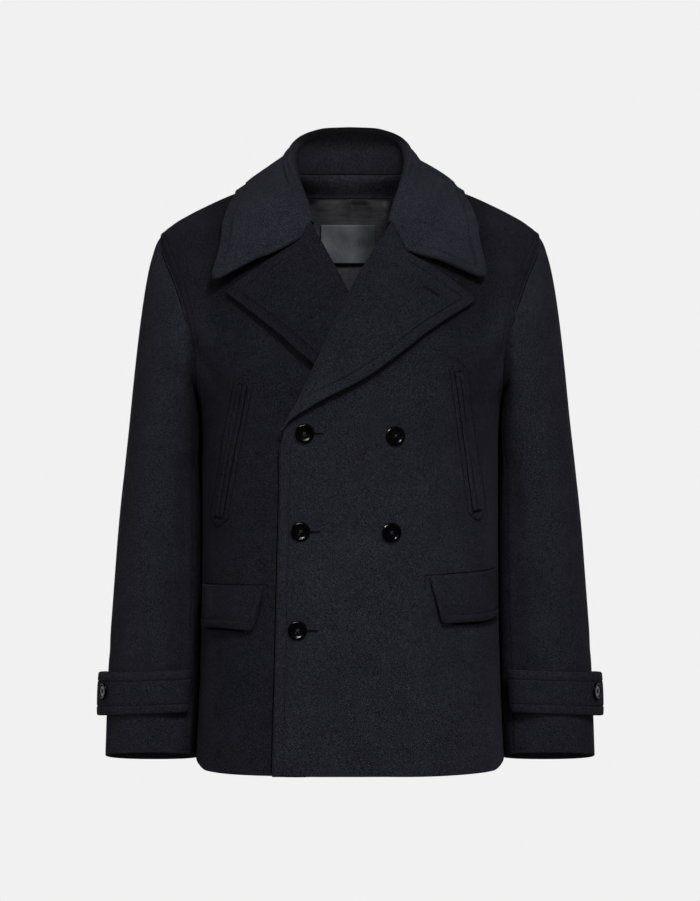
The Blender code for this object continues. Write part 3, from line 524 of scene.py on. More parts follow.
def front_line(side, row):
    """x and h of a front's inner border at a row: front edge, fold line, neckline."""
    col = 1 if side > 0 else 2
    low = np.interp(row, range(BREAK_ROW + 1), ROW_H)
    x = curve(EDGE, col, low / 0.42)
    x = x + (FOLD[0][col] - x) * step((row - BREAK_ROW + 0.4) / 0.4)
    t = (row - BREAK_ROW) / (GORGE_ROW - BREAK_ROW)
    n = np.clip((row - GORGE_ROW) / (TOP_ROW - GORGE_ROW), 0, 1)
    shift = FOLD[-1][col] - NECKLINE[0][1]
    below, folded = row < BREAK_ROW, row < GORGE_ROW
    x = np.where(below, x, np.where(folded, curve(FOLD, col, t), curve(NECKLINE, 1, n) + shift * (1 - n)))
    h = np.where(below, low, np.where(folded, curve(FOLD, 3, t), curve(NECKLINE, 2, n)))
    return x, h


def nape(t):
    """Back neckline; t is 0 at the centre back, 1 at the neck point."""
    return 180 - 90 * t, NECK + 0.007 * np.cos(t * pi / 2) ** 0.7


def centre_line(row):
    """th and h of a back's inner border at a row: centre seam, then the nape."""
    low = np.interp(row, list(range(BREAK_ROW + 1)) + [NAPE_ROW], ROW_H + [nape(0.0)[1]])
    th, h = nape(np.clip((row - NAPE_ROW) / (TOP_ROW - NAPE_ROW), 0, 1))
    return np.where(row < NAPE_ROW, 180.0, th), np.where(row < NAPE_ROW, low, h)


def panel_rows():
    """Rows of a body panel: the hem's edge, even steps, the shoulder seam's edge."""
    hem = marks() / 0.06
    top = TOP_ROW - marks()[::-1] / 0.018
    low = np.linspace(hem[-1], BREAK_ROW, int(0.425 / PITCH))[1:]
    high = np.linspace(BREAK_ROW, top[0], int(0.32 / PITCH))[1:-1]
    return np.concatenate([hem, low, high, top])


def panel_grid(inner, outer, lines):
    """th and h of a panel between two borders; lines are the topstitching marks at each border."""
    (ath, ah), (bth, bh) = inner, outer
    u = np.linspace(0, 1, 25)[None]
    p = body(ath[:, None] * (1 - u) + bth[:, None] * u, ah[:, None] * (1 - u) + bh[:, None] * u)
    length = np.linalg.norm(np.diff(p, axis=1), axis=-1).sum(1)
    u = places(length, PITCH, marks(*lines[0]), marks(*lines[1]))
    th, h = ath[:, None] * (1 - u) + bth[:, None] * u, ah[:, None] * (1 - u) + bh[:, None] * u
    # the hem lifts a little at the sides
    return th, h + 0.0075 * step((np.abs(body(th, h)[..., 0]) - 0.180) / 0.022) * (1 - step(h / 0.10))


def groove(d, at, deep=0.0011, wide=0.0010):
    """Dent along a line of stitching, by the distance from the border."""
    return -deep * bump((d - at) / wide)


def sewn_edge(d):
    """Form of a topstitched edge: the stitching's dent, and a soft swell outside it."""
    return groove(d, STITCH_IN) + 0.0005 * bump((d - STITCH_IN / 2) / 0.004)


def sew_edge(outer, nrm, d, rows):
    """Topstitching along the column of a grid that lies STITCH_IN from its border."""
    j = nearest(d, STITCH_IN)
    sew(outer[rows, j], nrm[rows, j])


def make_front(name, side, mat):
    row = panel_rows()
    x, h = front_line(side, row)
    inner = (angle(x * side, h) * side, h)
    inner[0][row >= TOP_ROW - 0.02] = 90.0
    th, h = panel_grid(inner, side_line(row), ([STITCH_IN], [STITCH_IN]))
    base = skin(th * side, h, -CLOTH / 2, side)
    d_edge, d_side, d_hem, d_top = runs(base)
    below = step((BREAK_ROW - 0.1 - row) / 0.25)[:, None]
    arm = step((row - BREAK_ROW - 1.0) / 0.3)[:, None]
    # the topstitching, and a soft swell between it and the edge
    off = sewn_edge(d_edge) * below + sewn_edge(d_side) * arm
    # the facing makes the front edge thick and firm
    facing = 0.0020 * (1 - step((d_edge - 0.022) / 0.03)) * below
    edge = half_wall(np.minimum(d_edge, d_hem), facing)
    half = half_wall(least(d_edge, d_side, d_hem, d_top), CLOTH) + edge
    outer, nrm = cloth(name, name, base + normal(th * side, h) * (off - edge)[..., None], half, mat)
    sew_edge(outer, nrm, d_edge, slice(8, int(np.searchsorted(row, BREAK_ROW - 0.1))))
    sew_edge(outer, nrm, d_side, slice(int(np.searchsorted(row, BREAK_ROW + 1.3)), -6))
    if side > 0:
        # the shadow along the edge of the front worn over
        foot = np.linspace(0.004, 0.412, 90)
        at = angle(front_line(side, np.interp(foot, ROW_H, range(BREAK_ROW + 1)))[0] - 0.0006, foot)
        PAINTED_SHADE_LINES.append((skin(at, foot, 0.0004), normal(at, foot), 0.0042))


def make_back(name, side, mat):
    row = panel_rows()
    th, h = panel_grid(centre_line(row), side_line(row, back=True), ([], [STITCH_IN]))
    base = skin(th * side, h, -CLOTH / 2)
    d_mid, d_side, d_hem, d_top = runs(base)
    arm = step((row - BREAK_ROW - 1.0) / 0.3)[:, None]
    # the seam allowance shows beside the centre seam
    off = sewn_edge(d_side) * arm + 0.0004 * bump((d_mid - 0.006) / 0.004)
    half = half_wall(least(d_mid, d_side, d_hem, d_top), CLOTH)
    outer, nrm = cloth(name, name, base + normal(th * side, h) * off[..., None], half, mat)
    sew_edge(outer, nrm, d_side, slice(int(np.searchsorted(row, BREAK_ROW + 1.3)), -6))


# ---------------------------------------------------------------- lapels
def patch(u, v, bottom, top, left, right):
    """Coons patch at places u and v; bottom and top are functions of u, left and right one point a row."""
    a, b = bottom(u), top(u)
    v = v[..., None]
    c00, c10, c01, c11 = (f(np.array([t])) for f, t in ((bottom, 0.), (bottom, 1.), (top, 0.), (top, 1.)))
    u = u[..., None]
    return ((1 - v) * a + v * b + (1 - u) * left + u * right
            - ((1 - u) * (1 - v) * c00 + u * (1 - v) * c10 + (1 - u) * v * c01 + u * v * c11))


def make_lapel(name, side, mat):
    """A front edge rolled over the fold line; gives its outer points and their normals."""
    key, c = ("over", (1, 2)) if side > 0 else ("under", (3, 4))
    tip, notch = POINTS[key]["lapel_tip"], POINTS[key]["notch"]
    s = places([0.31], PITCH * 0.8, np.array([0.0, 0.0006]), marks(STITCH_IN))[0]
    # the roll along the fold line
    x, h = front_line(side, BREAK_ROW + (GORGE_ROW - BREAK_ROW) * s)
    base = front(x, h, -CLOTH / 2, side)
    out = normal(angle(x * side, h), h)
    along = unit(np.gradient(base, axis=0))
    aside = unit(np.cross(out, along)) * side
    out = unit(np.cross(along, aside)) * side
    start = step(s / 0.10)
    rad = (0.0024 + (0.0014 * np.sin(pi * s) ** 0.8 if side > 0 else 0 * s)) * (0.25 + 0.75 * start)
    base = base + aside * 0.0002
    arc = [base + out * (rad * (1 - np.cos(a)))[:, None] + aside * (rad * np.sin(a))[:, None]
           for a in np.radians(np.linspace(0, 180, 15))]
    # the turned part, between the roll, the notch and the tip
    low = np.stack([curve(LAPEL_LOW, c[0], s), curve(LAPEL_LOW, c[1], s)], -1)
    roll = np.stack([x, h], -1)
    wide = np.linalg.norm(low - roll, axis=1)
    u = places(np.maximum(wide, 0.004), PITCH * 0.8, np.array([0.0, 0.001, 0.0022]), marks(STITCH_IN))
    v = np.broadcast_to(s[:, None], u.shape)
    k = 0.3
    g = np.array(notch) + (0.0001, 0.0002)
    a, b = rounded((1 - u) * 0.13, (1 - v) * 0.24, 0.0045)
    a, b = 1 - a / 0.13, 1 - b / 0.24
    foot, head = through([roll[0], low[0]], [0, 1]), through([roll[-1], g, tip], [0, k, 1])
    flat = patch(a, b, foot, head, through(roll, s)(b), through(low, s)(b))
    rest = LAY + 0.0006 + LAPEL / 2
    off = rest + (2 * rad - CLOTH / 2 - rest)[:, None] * (1 - step(u / 0.8))
    # the edge stands off the front a little, most half way along, and the field is softly full
    lift = 0.0034 * np.sin(pi * np.clip(s * 1.1, 0, 1)) + 0.0022 * step(s / 0.3)
    # the lapel worn under lies flat where the over front covers it
    lift = lift * (1 if side > 0 else step((s - 0.42) / 0.2))
    off = off + lift[:, None] * step((u - 0.35) / 0.65) + 0.0012 * np.sin(pi * u) * start[:, None]
    off = off - 0.0006 * (1 - start[:, None]) * u
    mid = front(flat[..., 0], flat[..., 1], off, side)
    mid = np.concatenate([np.stack(arc[:-1], 1), mid], 1)
    d_base, d_edge, d_break, d_top = runs(mid)
    n = grid_normals(mid)
    if np.sum(n[:, -20:, 1]) > 0:
        n = -n
    past_edge, past_top = (step((d - STITCH_IN + 0.001) / 0.002) for d in (d_edge, d_top))
    sewn = (groove(d_edge, STITCH_IN) * step((d_break - 0.02) / 0.03) * past_top
            + groove(d_top, STITCH_IN) * past_edge * step((d_base - 0.06) / 0.01))
    mid = mid + n * sewn[..., None]
    # sewn square to the collar from the roll to the notch
    turned_u = np.concatenate([np.zeros((len(s), len(arc) - 1)), u], 1)
    square = 1 + 8 * (1 - step((turned_u - k + 0.04) / 0.04))
    half = half_wall(least(d_base + 0.0006, d_edge, d_break + 0.0004, d_top * square), LAPEL, 0.7)
    outer, nrm = cloth(name, name, mid, half, mat, normals=n)
    j = nearest(d_edge, STITCH_IN)
    sew_edge(outer, nrm, d_edge, np.where((d_break[:, j] > 0.03) & (d_top[:, j] > STITCH_IN))[0])
    i = nearest(d_top[:, -30:], STITCH_IN, 1)
    cols = np.where((d_base[i] > 0.065) & (d_edge[i] > STITCH_IN))[0]
    sew(outer[i, cols], nrm[i, cols])
    return outer.reshape(-1, 3), nrm.reshape(-1, 3)


# ---------------------------------------------------------------- collar
def collar_foot(side, s):
    """The collar's sewn edge round the neck, and the way from it over the neck's opening."""
    row = TOP_ROW - (TOP_ROW - GORGE_ROW) * np.clip((s - 0.5) / 0.5, 0, 1)
    bth, bh = nape(np.clip(s / 0.5, 0, 1))
    back = skin(bth * side, bh, -0.0036)
    back[:, 2] -= 0.0004
    x, h = front_line(side, row)
    fth = angle(x * side, h)
    is_front = (s > 0.5)[:, None]
    base = np.where(is_front, skin(fth, h, -0.0021, side), back)
    nrm = np.where(is_front, normal(fth, h), normal(bth * side, bh))
    inward = unit(np.cross(nrm, unit(np.gradient(base, axis=0)))) * -side
    w = step((s - 0.5) / 0.06)[:, None]
    inward = unit(np.array([0, 0, 1.0]) * (1 - w) + inward * w)
    base = base + inward * 0.0006 * w
    # beside the neck its foot laps under the edge of the front
    lap = 0.0048 * step((s - 0.42) / 0.06) * (1 - step((s - 0.86) / 0.10))
    return base - inward * lap[:, None], inward


def collar_stand(side, s, gorge, turns):
    """The collar's stand and the roll above it, as columns of points."""
    base, inward = collar_foot(side, s)
    gx, gh = gorge
    shift = (gx - NECKLINE[0][1]) * step((s - 0.5) / 0.5)
    c = np.stack([(curve(ROLL, 1, s) + shift) * side, curve(ROLL, 2, s), curve(ROLL, 3, s) - NECK], -1)
    rad = curve(ROLL, 4, s)
    face = unit(np.stack([curve(FACING, 1, s) * side, curve(FACING, 2, s), curve(FACING, 3, s)], -1))
    w = step((s - 0.72) / 0.28)[:, None]
    face = unit(face * (1 - w) + normal(angle(gx * side, gh), gh) * w)
    c = c * (1 - w) + (base[-1] + face[-1] * rad[-1] + inward[-1] * 0.003 + (c - c[-1])) * w
    tan = unit(np.gradient(c, axis=0)) * side
    w = step(s / 0.03)[:, None]
    tan = unit(np.array([1.0, 0, 0]) * (1 - w) + tan * w)
    crest = unit(np.cross(tan, face))
    face = unit(np.cross(crest, tan))
    start = c - face * rad[:, None]
    cols = []
    for t in turns[0]:
        bow = (0.0055 * np.sin(pi * t**2.5) - 0.0015 * np.sin(pi * t)) * (1 - s)[:, None]
        cols.append(base + (start - base) * t + face * bow)
    for a in np.radians(turns[1]):
        cols.append(c - face * (rad * np.cos(a))[:, None] + crest * (rad * np.sin(a))[:, None])
    return cols


def collar_edge(side, s, tip, off):
    """The free edge of the collar's fall, over the back, the shoulder and the front."""
    ex, eh = curve(COLLAR_FRONT, 1, s), curve(COLLAR_FRONT, 2, s)
    ex = ex + (tip[0] - COLLAR_FRONT[-1][1]) * step((s - 0.8) / 0.2)
    eh = eh + (tip[1] - COLLAR_FRONT[-1][2]) * step((s - 0.8) / 0.2)
    eth = np.abs(angle(ex, eh))
    turn = 0.62          # where the edge passes from the back to the shoulder
    join = np.clip((s - turn) / 0.08, 0, 1)
    th = np.where(s < turn, 180 - 90 * np.clip(s / turn, 0, 1), 90 + (eth - 90) * join)
    h = COLLAR_BACK_H + (eh - COLLAR_BACK_H) * join + 0.0045 * bump((s - 0.63) / 0.09)
    # it passes over the shoulder in one soft line, close to the cloth
    even = np.linspace(0, 1, 401)
    window = bump(np.linspace(-2, 2, 41))
    window = window / window.sum()

    def softened(q):
        return np.interp(s, even, np.convolve(np.pad(np.interp(even, s, q), 20, "edge"), window, "valid"))

    th, h = softened(th), softened(h)
    th = th + (180 - th[0]) * (1 - step(s / 0.1)) + (eth[-1] - th[-1]) * step((s - 0.9) / 0.1)
    h = h + (eh[-1] - h[-1]) * step((s - 0.9) / 0.1)
    return skin(th * side, h, off, side)


def collar_half(side, s, turns, fall):
    """Middle surface of one half of the collar, a row at each place s from centre back to gorge."""
    key = "over" if side > 0 else "under"
    tip, notch = POINTS[key]["collar_tip"], POINTS[key]["notch"]
    gorge = front_line(side, np.array(float(GORGE_ROW)))
    cols = collar_stand(side, s, gorge, turns)
    turn = cols[-1]
    lay = LAY + 0.0008 + COLLAR / 2
    snug = bump((s - 0.64) / 0.13)
    edge = collar_edge(side, s, tip, lay + 0.0015 * step((s - 0.7) / 0.3) - 0.0036 * snug)
    line = through([np.array(gorge) + (0.0001, 0.0004), np.array(notch) + (0, 0.0002), tip], [0, 0.25, 1])

    def laid(u):
        q = line(u)
        return front(q[..., 0], q[..., 1], lay + 0.0012, side)

    p0, p1 = laid(np.array([0.0, 1.0]))

    def end(u):
        p = laid(u) + (turn[-1] - p0) * (1 - step(u / 0.12))[..., None]
        return p + (edge[-1] - p1) * step((u - 0.9) / 0.1)[..., None]

    def first(u):
        p = turn[0] + (edge[0] - turn[0]) * u[..., None]
        return p + np.array([0, 0.004, 0]) * np.sin(pi * u)[..., None]

    u = places(np.linalg.norm(edge - turn, axis=1), *fall)
    v = np.broadcast_to(s[:, None], u.shape)
    a, b = rounded((1 - u) * 0.15, (1 - v) * 0.5, 0.0150)
    a, b = 1 - a / 0.15, 1 - b / 0.5
    p = patch(a, b, first, end, through(turn, s)(b), through(edge, s)(b))
    bow = (0.0084 if side > 0 else 0.0058) * bump((b - 0.48) / 0.19) * np.sin(pi * a)
    bow = bow + 0.0042 * bump((b - 0.6) / 0.14) * np.sin(pi * a**3)
    p = p + bow[..., None] * np.array([side * 0.6, 0.0, 0.8])
    p[:, 1:] = away(p[:, 1:], lay - 0.0036 * snug[:, None])
    rolled = np.stack(cols[:-1], 1)
    whole, fallen = np.concatenate([rolled, p], 1), np.concatenate([np.zeros(rolled.shape[:2]), u], 1)
    # at the gorge the roll runs down onto the lapel's
    whole[..., 2] -= 0.0016 * step((s - 0.985) / 0.015)[:, None] * (1 - step((fallen - 0.10) / 0.12))
    return whole, fallen


def make_collar(name, mat, inner_mat):
    stitch = 0.0135
    s = np.concatenate([np.linspace(0, 0.93, int(0.36 / PITCH))[:-1], np.linspace(0.93, 0.9965, 34),
                        1 - marks()[::-1] / 0.5])
    turns = (np.linspace(0, 1, 12)[:-1], np.linspace(0, 180, 17))
    fall = (PITCH, np.array([0.0, 0.0016, 0.0034]), marks(stitch))
    (left, left_u), (right, right_u) = (collar_half(q, s, turns, fall) for q in (1, -1))
    m = min(left.shape[1], right.shape[1])
    mid = np.concatenate([right[:0:-1, :m], (left[:1, :m] + right[:1, :m]) / 2, left[1:, :m]])
    fallen = np.concatenate([right_u[:0:-1, :m], left_u[:, :m]])
    d_base, d_edge, d_right, d_left = runs(mid)
    n = grid_normals(mid)
    # the fall faces up and out
    if n[len(n) // 2, -30, 1] < 0:
        n = -n
    up = step((d_base - 0.085) / 0.02)
    ends = np.minimum(d_right, d_left)
    # the edge is flatter where it lies over the shoulder
    over_shoulder = bump((np.concatenate([s[:0:-1], s]) - 0.64) / 0.14)[:, None]
    off = groove(d_edge, stitch, 0.0024) * step((ends - stitch) / 0.003) * (1 - 0.85 * over_shoulder)
    off = off + groove(ends, stitch, 0.0024) * step((d_edge - stitch) / 0.003) * up
    off = off + 0.0014 * bump((np.minimum(d_edge, ends) - stitch / 2) / 0.0050) * up
    # the free ends stand off the fronts
    off = off + 0.0042 * bump(ends / 0.030) * up * step((d_base - 0.075) / 0.03)
    off = off + 0.0016 * bump(d_edge / 0.02) * up * step((0.13 - ends) / 0.05)
    mid = mid + n * off[..., None]
    # sewn square to the lapels from the roll to the notch, round beyond it
    square = 1 + 8 * (1 - step((fallen - 0.22) / 0.03))
    half = half_wall(least(d_base * 5 + 0.0004, d_edge, d_right * square, d_left * square), COLLAR, 0.75)
    outer, nrm = cloth(name, name, mid, half, mat, normals=n, second=(inner_mat, 20))
    j = nearest(d_edge, stitch)
    rows = ends[:, j] > stitch
    sew(outer[rows, j], nrm[rows, j])
    for d in (d_right, d_left):
        j = np.where(d_base[len(d) // 2] >= 0.1)[0]
        i = np.argmin(np.abs(d[:, j] - stitch), 0)
        kept = d_edge[i, j] > stitch
        sew(outer[i[kept], j[kept]], nrm[i[kept], j[kept]])


# ---------------------------------------------------------------- inside of the back
def facing_seam(th):
    """Height of the seam between neck facing and lining."""
    return 0.7415 + 0.006 * np.abs((th - 180) / 84) ** 2


def pucker(x, d):
    """Gathers of the lining below the facing; x is across the back, d is the distance below the seam."""
    small = 0.0013 * np.sin(x * 330 + 1.7 * np.sin(x * 61)) * bump(d / 0.016)
    wide = 0.0034 * np.sin(x * 95 + 0.8 + 6 * d) * bump((d - 0.03) / 0.045)
    pleat = -0.0050 * bump((x - 0.052 + 0.10 * d) / 0.0045) + 0.0035 * bump((x - 0.062 + 0.10 * d) / 0.006)
    return (small + wide + pleat * bump((d - 0.02) / 0.06)) * step((d - 0.001) / 0.008)


def make_facing(wool):
    """The wool band inside the neck, below the collar."""
    t = np.linspace(-0.88, 0.88, int(0.20 / PITCH))
    edge = marks() / 0.03
    v = np.concatenate([edge, np.linspace(edge[-1], 1 - edge[-1], 10)[1:-1], 1 - edge[::-1]])[:, None]
    th, top = nape(np.abs(t))
    th = 180 + (th - 180) * np.sign(t)
    h = (facing_seam(th) + 0.0012) * (1 - v) + (top + 0.0022) * v
    mid = skin(th + 0 * h, h, -CLOTH - 0.0036 + 0.0022 * step((v - 0.80) / 0.2))
    half = half_wall(least(*runs(mid)), 0.0022, 0.3)
    cloth("neck_facing", "neck_facing", mid, half, wool)


def make_lining(word, side, satin):
    """One half of the back's lining, gathered at the facing."""
    row = np.linspace(0.5, TOP_ROW, int(0.75 / PITCH))
    rth, rh = side_line(row, back=True)
    n = np.clip((row - NAPE_ROW) / (TOP_ROW - NAPE_ROW), 0, 1)
    sth = 180 - 78 * n
    lh = np.interp(row, list(range(BREAK_ROW + 1)) + [NAPE_ROW], ROW_H + [facing_seam(180) + 0.0008])
    lh = np.where(row < NAPE_ROW, lh, facing_seam(sth) + 0.0008)
    u = np.concatenate([[0, 0.002, 0.006], np.linspace(0.012, 1, int(0.2 / PITCH))])[None]
    th = np.clip(sth[:, None] * (1 - u) + rth[:, None] * u, 93, 180)
    h = lh[:, None] * (1 - u) + rh[:, None] * u
    x = body(th * side, h)[..., 0]
    off = CLOTH + 0.0022 + 0.0012 * step((h - 0.36) / 0.3)
    behind = bump((x + 0.0025) / 0.034) * bump((h - 0.682) / 0.032)      # flatter under the label
    inward = pucker(x, facing_seam(th) - h) * step((th - 100) / 25) * (1 - 0.75 * behind)
    seam = -0.0012 * bump(np.abs(x) / 0.0016)
    tuck = np.where(th > 179.99, 0.0006, 0.0)
    mid = skin(th * side, h, -off + inward + seam + tuck)
    mid[:, 0, 0] -= 0.0002 * side
    name = f"back_lining_{word}"
    cloth(name, name, mid, np.full(th.shape, LINING / 2), satin)


def make_label(tab):
    """The bare label: stiff, sewn on at its ends, standing off along its lower edge."""
    x = np.linspace(-0.0400, 0.0350, 60)[None]
    h = np.linspace(0.6560, 0.7080, 46)[:, None]
    sag = 0.0016 * step((0.700 - h) / 0.04) + 0.0010 * np.sin((x + 0.04) * 60) * (0.708 - h) / 0.05
    mid = skin(180 - angle(x + 0 * h, h), h, -CLOTH - LINING - 0.0060)
    mid = mid + np.array([0, -1.0, 0]) * sag[..., None]
    cloth("label", "label", mid, half_wall(least(*runs(mid)), 0.0011, 0.8), tab)


# ---------------------------------------------------------------- sleeves
# soft folds of the sleeve: way round from its outer side, height, lean, half length, half width, depth
ARM_FOLDS = [
    (62, 0.300, 7, 0.170, 0.018, 0.0016), (38, 0.240, 3, 0.200, 0.020, -0.0014),
    (96, 0.330, -8, 0.120, 0.014, -0.0022), (112, 0.250, -40, 0.045, 0.010, -0.0016),
    (84, 0.150, 20, 0.060, 0.013, -0.0013), (60, 0.125, -35, 0.045, 0.011, 0.0010),
    (20, 0.150, 60, 0.040, 0.010, -0.0009), (-40, 0.260, 5, 0.160, 0.020, -0.0018),
    (-74, 0.300, -6, 0.150, 0.018, 0.0020), (-105, 0.270, 40, 0.055, 0.012, -0.0022),
    (-60, 0.215, 62, 0.050, 0.011, -0.0016), (-84, 0.180, 66, 0.055, 0.011, -0.0018),
    (-34, 0.330, 58, 0.045, 0.012, -0.0012), (-50, 0.120, 20, 0.060, 0.014, 0.0014),
    (30, 0.440, -14, 0.080, 0.018, 0.0012), (-30, 0.440, 12, 0.080, 0.018, 0.0012),
]


def arm_relief(phi, h, side):
    """Height of a sleeve's soft folds."""
    phi, h = same_shape(phi, h)
    high = np.zeros(phi.shape)
    for i, (p0, h0, *form) in enumerate(ARM_FOLDS):
        shift = 4 * np.sin(i * 2.3 + side)          # the two sleeves don't fold alike
        high = high + fold(around(phi, p0 + shift) * 0.00125, h - h0 - 0.002 * shift, *form, (0.002, 52), i)
    return high * step((h - 0.02) / 0.05)


def ring(phi, h, side, gap):
    """Outer surface of the sleeve; phi is 0 at its outer side and 90 at the front."""
    p = np.radians(phi)
    a, b = curve(SLEEVE, 1, h), curve(SLEEVE, 2, h)
    mid, deep, tilt = curve(SLEEVE, 3, h), curve(SLEEVE, 4, h), curve(SLEEVE, 5, h)
    s, c = np.sin(p), np.cos(p)
    r = squared(s, c, 2.2)
    x = (a + b) / 2 + (b - a) / 2 * r * c
    y = mid - deep * r * s
    z = h - tilt * (y - mid)
    # pressed against the side of the body, free of it below the armpit
    gap = gap + 0.0036 * step((h - 0.33) / 0.07)
    w, f, bk, m, q = (curve(BODY, i, z) for i in range(1, 6))
    d = np.where(y < m, f, bk)
    v = np.clip(np.abs(y - m) / d, 0, 0.999)
    limit = w * (1 - v**q) ** (1 / q) + gap
    soft = 0.0009
    x = limit + (x - limit) / 2 + np.sqrt(((x - limit) / 2) ** 2 + soft**2)
    return np.stack([x * side, y, z - NECK], -1)


def arm(phi, side, top_rows, low_rows, gap=PRESS):
    """Sleeve surface from the armhole to the cuff, and its height at each point."""
    th, h = armhole(phi)
    edge = skin(th * side, h, 0.0)
    n0 = normal(th * side, h)
    e = 0.5
    th2, h2 = armhole(phi + e)
    th1, h1 = armhole(phi - e)
    tan = unit(skin(th2 * side, h2, 0.0) - skin(th1 * side, h1, 0.0))
    hole = unit(np.cross(n0, tan)) * side          # in the surface, into the hole
    # the sleeve's head starts a seam's width under the body
    start = edge - n0 * 0.0006 - hole * 0.0022
    end = ring(phi, np.full_like(phi, SLEEVE_TOP), side, gap)
    up = (ring(phi, np.full_like(phi, SLEEVE_TOP + 0.01), side, gap) - end) / 0.01
    p = np.radians(phi)
    top, low = (1 + np.cos(p)) / 2, (1 - np.cos(p)) / 2
    # the front of the sleeve rolls up out of the seam above the armpit
    roll = bump((phi - 122) / 30)
    ease = unit(hole + np.array([side * 0.70, 0, 0.0]) * top[:, None]
                + np.stack([0 * p, -np.sin(p) * 0.5 - 0.9 * roll, 0 * p], -1))
    q1 = start + ease * (0.035 * top + 0.012 * low + 0.010 * roll)[:, None]
    q2 = end + up * (0.150 * top + 0.062 * low)[:, None]
    t = top_rows[:, None, None]
    g = ((1 - t)**3 * start + 3 * (1 - t)**2 * t * q1 + 3 * (1 - t) * t**2 * q2 + t**3 * end)
    rows = [ring(phi, np.full_like(phi, v), side, gap) for v in low_rows]
    heights = np.concatenate([h[None] * (1 - top_rows[:, None]) + SLEEVE_TOP * top_rows[:, None],
                              low_rows[:, None] + 0 * phi[None]])
    return np.concatenate([g, np.stack(rows)]), heights


def make_sleeve(word, side, mat):
    near = np.array([0, 0.0006, 0.002, 0.0045, 0.008, 0.013, 0.020, 0.030])
    top_rows = np.concatenate([near, np.linspace(0.04, 1, int(0.26 / PITCH))])
    rim = SLEEVE[0][0] + marks()[::-1]
    low_rows = np.concatenate([np.linspace(SLEEVE_TOP, rim[0], int(0.40 / PITCH))[1:-1], rim])
    axis = ring(np.arange(0, 360, 30.0), rim[-1], side, PRESS).mean(0)
    for kind, a, b in (("upper", SEAM_HIND, SEAM_FORE), ("under", SEAM_FORE, 360 + SEAM_HIND)):
        length = 0.078 * radians(b - a)
        phi = a + (b - a) * places([length], PITCH, marks(), marks())[0]
        turn = (phi + 180) % 360 - 180
        g, h = arm(turn, side, top_rows, low_rows)
        e = 0.5
        round_ = arm(turn + e, side, top_rows, low_rows)[0] - arm(turn - e, side, top_rows, low_rows)[0]
        n = unit(np.cross(round_, np.gradient(g, axis=0)))
        n = n * np.sign(np.sum(n[-1] * (g[-1] - axis)))
        free = np.clip((g[..., 0] * side - body(90.0, np.minimum(h, 0.45))[..., 0] - 0.006) / 0.03, 0, 1)
        d_a, d_b, d_top, d_cuff = runs(g)
        gathers = 0.0005 * np.sin(np.radians(turn) * 23)[None] * bump((d_top - 0.012) / 0.010)
        inner = -0.0090 * bump((turn - 128) / 22)[None] * step((0.42 - h) / 0.05) * step((h - 0.01) / 0.08)
        off = (arm_relief(turn[None], h, side) * step(free) + gathers + inner
               + 0.0004 * bump((np.minimum(d_a, d_b) - 0.006) / 0.004))
        mid = g + n * (off - CLOTH / 2)[..., None]
        dist = least(d_a, d_b, d_top, d_cuff)
        name = f"{kind}_sleeve_{word}"
        outer, nrm = cloth(name, name, mid, half_wall(dist, CLOTH), mat)
        if kind == "upper":
            j = nearest(d_b[-60:], 0.0022)
            cuff = slice(-int(0.115 / PITCH), -6)
            sew(outer[cuff, j], nrm[cuff, j], first=0.001)
    # a strip of painted shade along the front of the armhole seam
    seam = np.linspace(35, 150, 120)
    th, h = armhole(seam)
    PAINTED_SHADE_LINES.append((skin(th * side, h, 0.0018), normal(th * side, h), 0.0017))


# ---------------------------------------------------------------- pockets
def slit_place(word, side, a, b, off):
    """Point by a slit: a runs up it from 0 to 1, b is the distance to its side away from the middle."""
    xt, ht, xb, hb = SLITS[word]
    d = np.array([xt - xb, ht - hb])
    d = d / np.linalg.norm(d)
    x = xb + (xt - xb) * a + d[1] * b
    h = hb + (ht - hb) * a - d[0] * b
    return front(x, h, off, side)


def way_up(pts):
    """Way out of the body's surface at points on it."""
    return normal(np.degrees(np.arctan2(pts[:, 0], -pts[:, 1])), pts[:, 2] + NECK)


def slit_length(word):
    xt, ht, xb, hb = SLITS[word]
    return float(np.hypot(xt - xb, ht - hb))


def make_field(word, side, mat):
    """The stitched field round a slit, with pointed ends."""
    long = slit_length(word)
    wide, point = 0.0134, 0.0135
    d = np.concatenate([np.linspace(-point, 0, 14)[:-1], np.linspace(0, long, int(long / 0.0035)),
                        np.linspace(long, long + point, 14)[1:]])
    past = np.maximum(np.maximum(-d, d - long), 0) / point
    w = wide * np.clip(1 - past, 0, 1) ** 0.8
    w[0] = w[-1] = 0.0002
    b = np.concatenate([np.linspace(-1, -0.8, 8), np.linspace(-0.8, 0.8, 33)[1:-1], np.linspace(0.8, 1, 8)])
    bb = b * w[:, None]
    edge = np.minimum(w[:, None] - np.abs(bb), np.minimum(d + point, long + point - d)[:, None] * 0.7)
    rise = -0.0011 + 0.0022 * step(edge / 0.0022)
    rise = rise - 0.0012 * bump((np.abs(bb) - LIP - 0.0006) / 0.0008)
    rise = rise - 0.0008 * bump((edge - 0.0013) / 0.0008)
    half = 0.0007
    mid = slit_place(word, side, (d / long)[:, None] + 0 * bb, bb, rise - half)
    cloth(f"pocket_field_{word}", None, mid, np.full(mid.shape[:2], half), mat)
    # painted shade lines along the field's outline
    for sgn in (-1, 1):
        pts = slit_place(word, side, d / long, sgn * (w - 0.0012).clip(0), 0.0009)
        PAINTED_SHADE_LINES.append((pts, way_up(pts), 0.0006))


